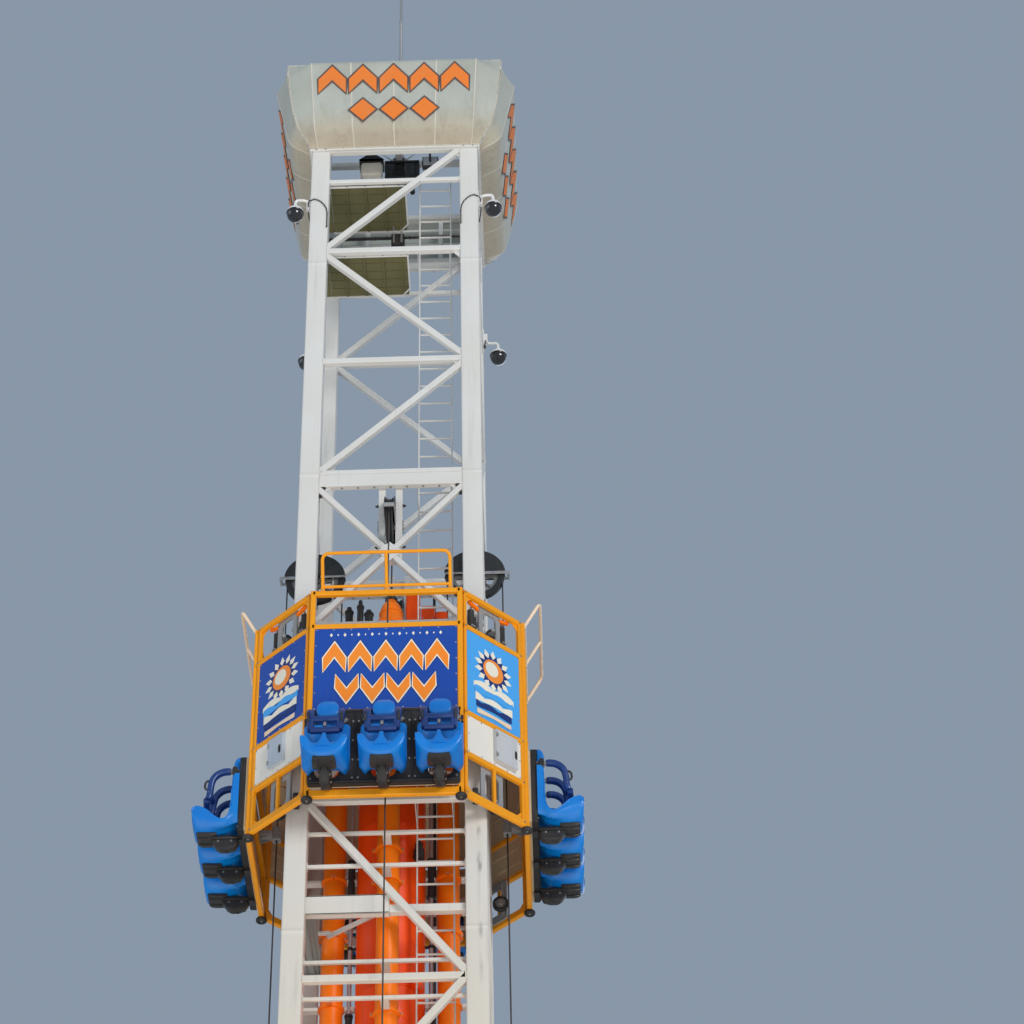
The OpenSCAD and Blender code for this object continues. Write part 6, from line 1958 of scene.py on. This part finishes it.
# ---------------------------------------------------------------- restraints
ARM = [(0.0, 0.0), (0.050, 0.010), (0.105, 0.012), (0.160, -0.004), (0.205, -0.036), (0.240, -0.085), (0.258, -0.150), (0.265, -0.220), (0.272, -0.290), (0.290, -0.345)]
PY, PZ = -(BD + 0.055), G + 0.825
for k in range(4):
    for n_ in range(3):
        xc = -0.6 + 0.6 * n_
        body = f"restraint_{SIDES[k]}_{n_ + 1}"
        P = lambda x, f, u: V(xc + x, PY - f, PZ + u)
        mp = Mesh()      # padding
        mp.M = Z90[k]
        path = catmull(ARM, 4)
        for s in (-1, 1):
            pts, rr = [], []
            for i, p in enumerate(path[4:-1]):
                t = i / (len(path) - 6)
                pts.append(P(s * (0.1655 - 0.012 * smooth((t - 0.45) / 0.4)), p.x, p.y))
                r_ = 1.0
                if t < 0.05:
                    r_ = 0.86 + 2.8 * t
                if t > 0.95:
                    r_ = 1.0 - 3.2 * (t - 0.95)
                rr.append(r_)
            mp.tube(pts, rr, 16, up=(1, 0, 0), sq=(0.076, 0.070, 0.62))
        # chest bridge and lap bar with rounded ends
        for z0, f, wz, wf in ((-0.184, 0.270, 0.066, 0.062), (-0.350, 0.302, 0.066, 0.068)):
            ring_pts = [P(-0.150 + 0.30 * i / 12, f + 0.010 * math.sin(math.pi * i / 12), z0 + 0.004 * math.cos(2 * math.pi * i / 12)) for i in range(13)]
            mp.tube(ring_pts, 1.0, 16, up=(0, 0, 1), sq=(wz, wf, 0.62))
        pad = make(body + "_pads", mp, ["restraint_navy"], body, replaces=body, angle=60)
        ms = Mesh()      # hubs, steel arms, grips and the belt's buckle
        ms.M = Z90[k]
        for s in (-1, 1):
            xa, xb = (0.128, 0.203) if s > 0 else (-0.203, -0.128)
            ms.mat = 0
            ms.rev([(0.0183, xa), (0.034, xa), (0.038, xa + 0.004), (0.038, xb - 0.004), (0.034, xb), (0.0183, xb)], 32, Matrix.Translation((xc, PY, PZ)) @ Matrix.Rotation(math.pi / 2, 4, "Y"), closed=True)
            ms.tube([P(s * 0.1655, 0.024, 0.005), P(s * 0.1655, 0.036, 0.008), P(s * 0.1655, 0.052, 0.010), P(s * 0.1655, 0.070, 0.011)], 0.026, 14)
            ms.mat = 1
            # hand grips on the outer side of each arm
            ms.tube([P(s * 0.172, 0.268, -0.105), P(s * 0.176, 0.302, -0.113), P(s * 0.177, 0.320, -0.140), P(s * 0.177, 0.325, -0.190), P(s * 0.176, 0.312, -0.217), P(s * 0.170, 0.282, -0.223)], 0.0125, 12)
            ms.mat = 0
            ms.bolt(P(s * 0.185, 0.275, -0.262), (s, 0, 0), 0.008, 0.005)
        ms.mat = 2
        ms.extr([(PY - 0.298 + u, PZ - 0.268 + v) for u, v in rsect(0.030, 0.125, 0.010)], xc - 0.022, xc + 0.022, yz(0))
        ms.mat = 0
        ms.box(P(0.014, 0.319, -0.292), P(-0.014, 0.311, -0.250), 0.003)
        make(body + "_frame", ms, ["disc_grey", "rubber_black", "seat_navy"], body, angle=60)

# ---------------------------------------------------------------- hoops
mb = Mesh()
lean = math.atan2(0.235, 0.43)
for k in range(4):
    mb.M = Z90[k] @ Matrix.Translation((0, -RB, ZTOP + 0.03)) @ Matrix.Rotation(lean, 4, "X")
    mb.mat = 0 if k in (0, 2) else 1
    r = 0.075
    path = [V(-0.71, 0, -0.016), V(-0.71, 0, 0.30)]
    for i in range(9):
        a = math.radians(180 - 90 * i / 8)
        path.append(V(-0.71 + r + r * math.cos(a), 0, 0.44 - r + r * math.sin(a)))
    for i in range(9):
        a = math.radians(90 - 90 * i / 8)
        path.append(V(0.71 - r + r * math.cos(a), 0, 0.44 - r + r * math.sin(a)))
    path += [V(0.71, 0, 0.30), V(0.71, 0, -0.016)]
    mb.tube(path, 0.0195, 16, up=(0, 1, 0))
    mb.rod((0, 0, -0.014), (0, 0, 0.44), 0.0195, 16)
    mb.rod((-0.71, 0, 0.06), (0.71, 0, 0.06), 0.0175, 16)
    for x in (-0.71, 0.0, 0.71):      # welded knees and sockets
        mb.rod((x, 0, 0.006), (x, 0, 0.040), 0.0245, 16)
        for s in (-1, 1):
            if abs(x + s * 0.02) < 0.70:
                mb.rod((x + s * 0.016, 0, 0.06), (x + s * 0.026, 0, 0.06), 0.0205, 14)
    mb.rod((0, 0, 0.412), (0, 0, 0.424), 0.0225, 14)
    mb.mat = 2
    for x in (-0.71, 0.0, 0.71):
        mb.bolt((x, -0.024, 0.022), (0, -1, 0), 0.006, 0.005)
make("handrail_hoops_skin", mb, ["frame_yellow", "hoop_pale", "bolt_zinc"], "gondola", replaces="handrail_hoops")

# ---------------------------------------------------------------- guide wheels and their brackets
GW, GC = 0.090, T + 0.007 + 0.090
mw = Mesh()
mb = Mesh()
for k in range(4):
    for mm in (0, 1):
        for z in (0.150, 2.460):
            base = Z90[k] @ Matrix.Diagonal((-1 if mm else 1, 1, 1, 1))
            wm = base @ Matrix.Translation((GC, -CC, G + z)) @ Matrix.Rotation(math.pi / 2, 4, "X")
            mw.mat = 0
            mw.rev([(0.062, -0.030), (0.083, -0.030), (0.088, -0.027), (0.090, -0.020), (0.090, 0.020), (0.088, 0.027), (0.083, 0.030), (0.062, 0.030)], 40, wm, closed=True)
            mw.mat = 1
            mw.rev([(0.0225, -0.026), (0.040, -0.026), (0.044, -0.012), (0.058, -0.010), (0.0625, -0.028), (0.0625, 0.028), (0.058, 0.010), (0.044, 0.012), (0.040, 0.026), (0.0225, 0.026)], 32, wm, closed=True)
            mw.mat = 2
            for i in range(5):
                a = 2 * math.pi * i / 5
                for s in (-1, 1):
                    mw.bolt(wm @ V(0.051 * math.cos(a), 0.051 * math.sin(a), s * 0.011), wm.to_3x3() @ V(0, 0, s), 0.0055, 0.006)
            # stub axle out to the corner plate, with a nut
            mb.mat = 0
            mb.M = base
            L = math.sqrt(2) * (DG - 0.045) - GC
            mb.rod((GC, -CC + 0.030, G + z), (GC, -L, G + z), 0.0215, 20)
            mb.rod((GC, -CC - 0.034, G + z), (GC, -CC - 0.050, G + z), 0.034, 20)
            mb.rod((GC, -CC + 0.0305, G + z), (GC, -CC + 0.046, G + z), 0.034, 20)
            mb.mat = 1
            mb.rod((GC, -CC + 0.046, G + z), (GC, -CC + 0.064, G + z), 0.030, 6)
    for z in (0.150, 2.460):
        mb.M = D45[k]
        zb = 0.045 if z < 1 else 2.256
        zt_ = 0.483 if z < 1 else 2.665
        mb.mat = 0
        plate(mb, [(u, G + (zb + zt_) / 2 + v) for u, v in rsect(0.32, zt_ - zb + 0.08, 0.03)], [[(u, G + (zb + zt_) / 2 + v) for u, v in rsect(0.20, (zt_ - zb) * 0.74, 0.05)][::-1]], -DG + 0.030, -DG + 0.050, lambda u, v, w: V(u, w, v))
        for s in (-1, 1):
            mb.box((s * 0.125 - 0.006, -DG + 0.05, G + zb), (s * 0.125 + 0.006, -DG + 0.085, G + zt_), 0.003)
        mb.mat = 1
        for s in (-1, 1):
            for zz in (zb - 0.018, zt_ + 0.018):
                for x in (0.06, 0.13):
                    mb.bolt((s * x, -DG + 0.05, G + zz), (0, 1, 0), 0.010, 0.009)
        # orange arm and black buffer beside the upper wheels
        if z > 1:
            for s in (-1, 1):
                mb.mat = 2
                mb.bar((s * 0.14, -DG + 0.05, G + 2.62), (s * 0.30, -DG + 0.05, G + 2.665), 0.04, 0.04, (0, 1, 0), 0.005)
                mb.mat = 3
                mb.rev([(0.0, 2.36), (0.030, 2.36), (0.040, 2.37), (0.040, 2.40)] + [(0.040 - 0.007 * (i % 2), 2.40 + 0.014 * i) for i in range(13)] + [(0.040, 2.585), (0.030, 2.595), (0.0, 2.595)], 20, Matrix.Translation((s * 0.235, -DG + 0.085, G)))
                mb.mat = 1
                mb.rod((s * 0.235, -DG + 0.085, G + 2.59), (s * 0.235, -DG + 0.085, G + 2.64), 0.012, 12)
                mb.mat = 0
                mb.box((s * 0.235 - 0.03, -DG + 0.03, G + 2.345), (s * 0.235 + 0.03, -DG + 0.12, G + 2.36), 0.003)
make("guide_wheels_skin", mw, ["rubber_black", "disc_grey", "bolt_zinc"], "gondola", replaces="guide_wheels")
make("guide_brackets_skin", mb, ["bracket_grey", "bolt_zinc", "cylinder_orange", "rubber_black"], "gondola", replaces="guide_brackets")

mb = Mesh()
for k in range(4):
    for s in (-1, 1):
        M = Z90[k] @ Matrix.Translation((s * RA, -RB, G - 0.045 - 0.046))
        mb.mat = 0
        mb.rev([(0.022, 0.010), (0.034, 0.003), (0.048, 0.0), (0.056, 0.004), (0.062, 0.014), (0.062, 0.034), (0.056, 0.043), (0.048, 0.046), (0.022, 0.046)], 32, M, closed=True)
        mb.mat = 1
        mb.rev([(0.0, 0.018), (0.020, 0.018), (0.022, 0.020), (0.022, 0.045), (0.0, 0.045)], 20, M)
        mb.rev([(0.0, 0.006), (0.013, 0.006), (0.013, 0.018), (0.0, 0.018)], 6, M)
make("ring_bumpers_skin", mb, ["rubber_black", "bolt_zinc"], "gondola", replaces="ring_bumpers")

# ---------------------------------------------------------------- cable clamps
mb = Mesh()
for k in range(4):
    mb.M = Z90[k]
    yc = -SX - SR
    for s in (-1, 1):      # two halves with a channel for the cable, drawn together by bolts
        prof = [(s * 0.003, yc - 0.043), (s * 0.050, yc - 0.045), (s * 0.050, yc + 0.045), (s * 0.003, yc + 0.043)]
        ch = [(s * 0.0165 * math.cos(math.radians(a)), yc + 0.0165 * math.sin(math.radians(a))) for a in range(80, -81, -20)]
        poly = prof[:] + ch
        mb.extr(poly, G + 0.433, G + 0.593, xy(0))
        mb.mat = 1
        for z in (0.46, 0.513, 0.566):
            for y in (-0.030, 0.030):
                mb.bolt((s * 0.050, yc + y, G + z), (s, 0, 0), 0.009, 0.009)
        mb.mat = 0
    mb.box((-0.06, -RB + 0.03, G + 0.483), (0.06, yc - 0.043, G + 0.543), 0.005)
    for x in (-0.05, 0.05):
        mb.extr([(-RB + 0.03, G + 0.43), (-RB + 0.03, G + 0.484), (yc - 0.045, G + 0.484)], x - 0.004, x + 0.004, yz(0))
    mb.mat = 1
    for x in (-0.035, 0.035):
        mb.bolt((x, -RB + 0.055, G + 0.543), (0, 0, 1), 0.009, 0.009)
    mb.mat = 0
make("cable_clamps_skin", mb, ["bracket_grey", "bolt_zinc"], "gondola", replaces="cable_clamps")

# ---------------------------------------------------------------- floor and backdrop
mb = Mesh()
mb.add([V(-400, -400, -0.002), V(400, -400, -0.002), V(400, 400, -0.002), V(-400, 400, -0.002)], [(0, 1, 2, 3)])
me = bpy.data.meshes.new("floor")
me.from_pydata([tuple(v) for v in mb.v], [], mb.f)
me.materials.append(mat_of("floor_pale"))
floor = bpy.data.objects.new("floor", me)
scene.collection.objects.link(floor)
floor.visible_shadow = False      # the soft fill from below passes it
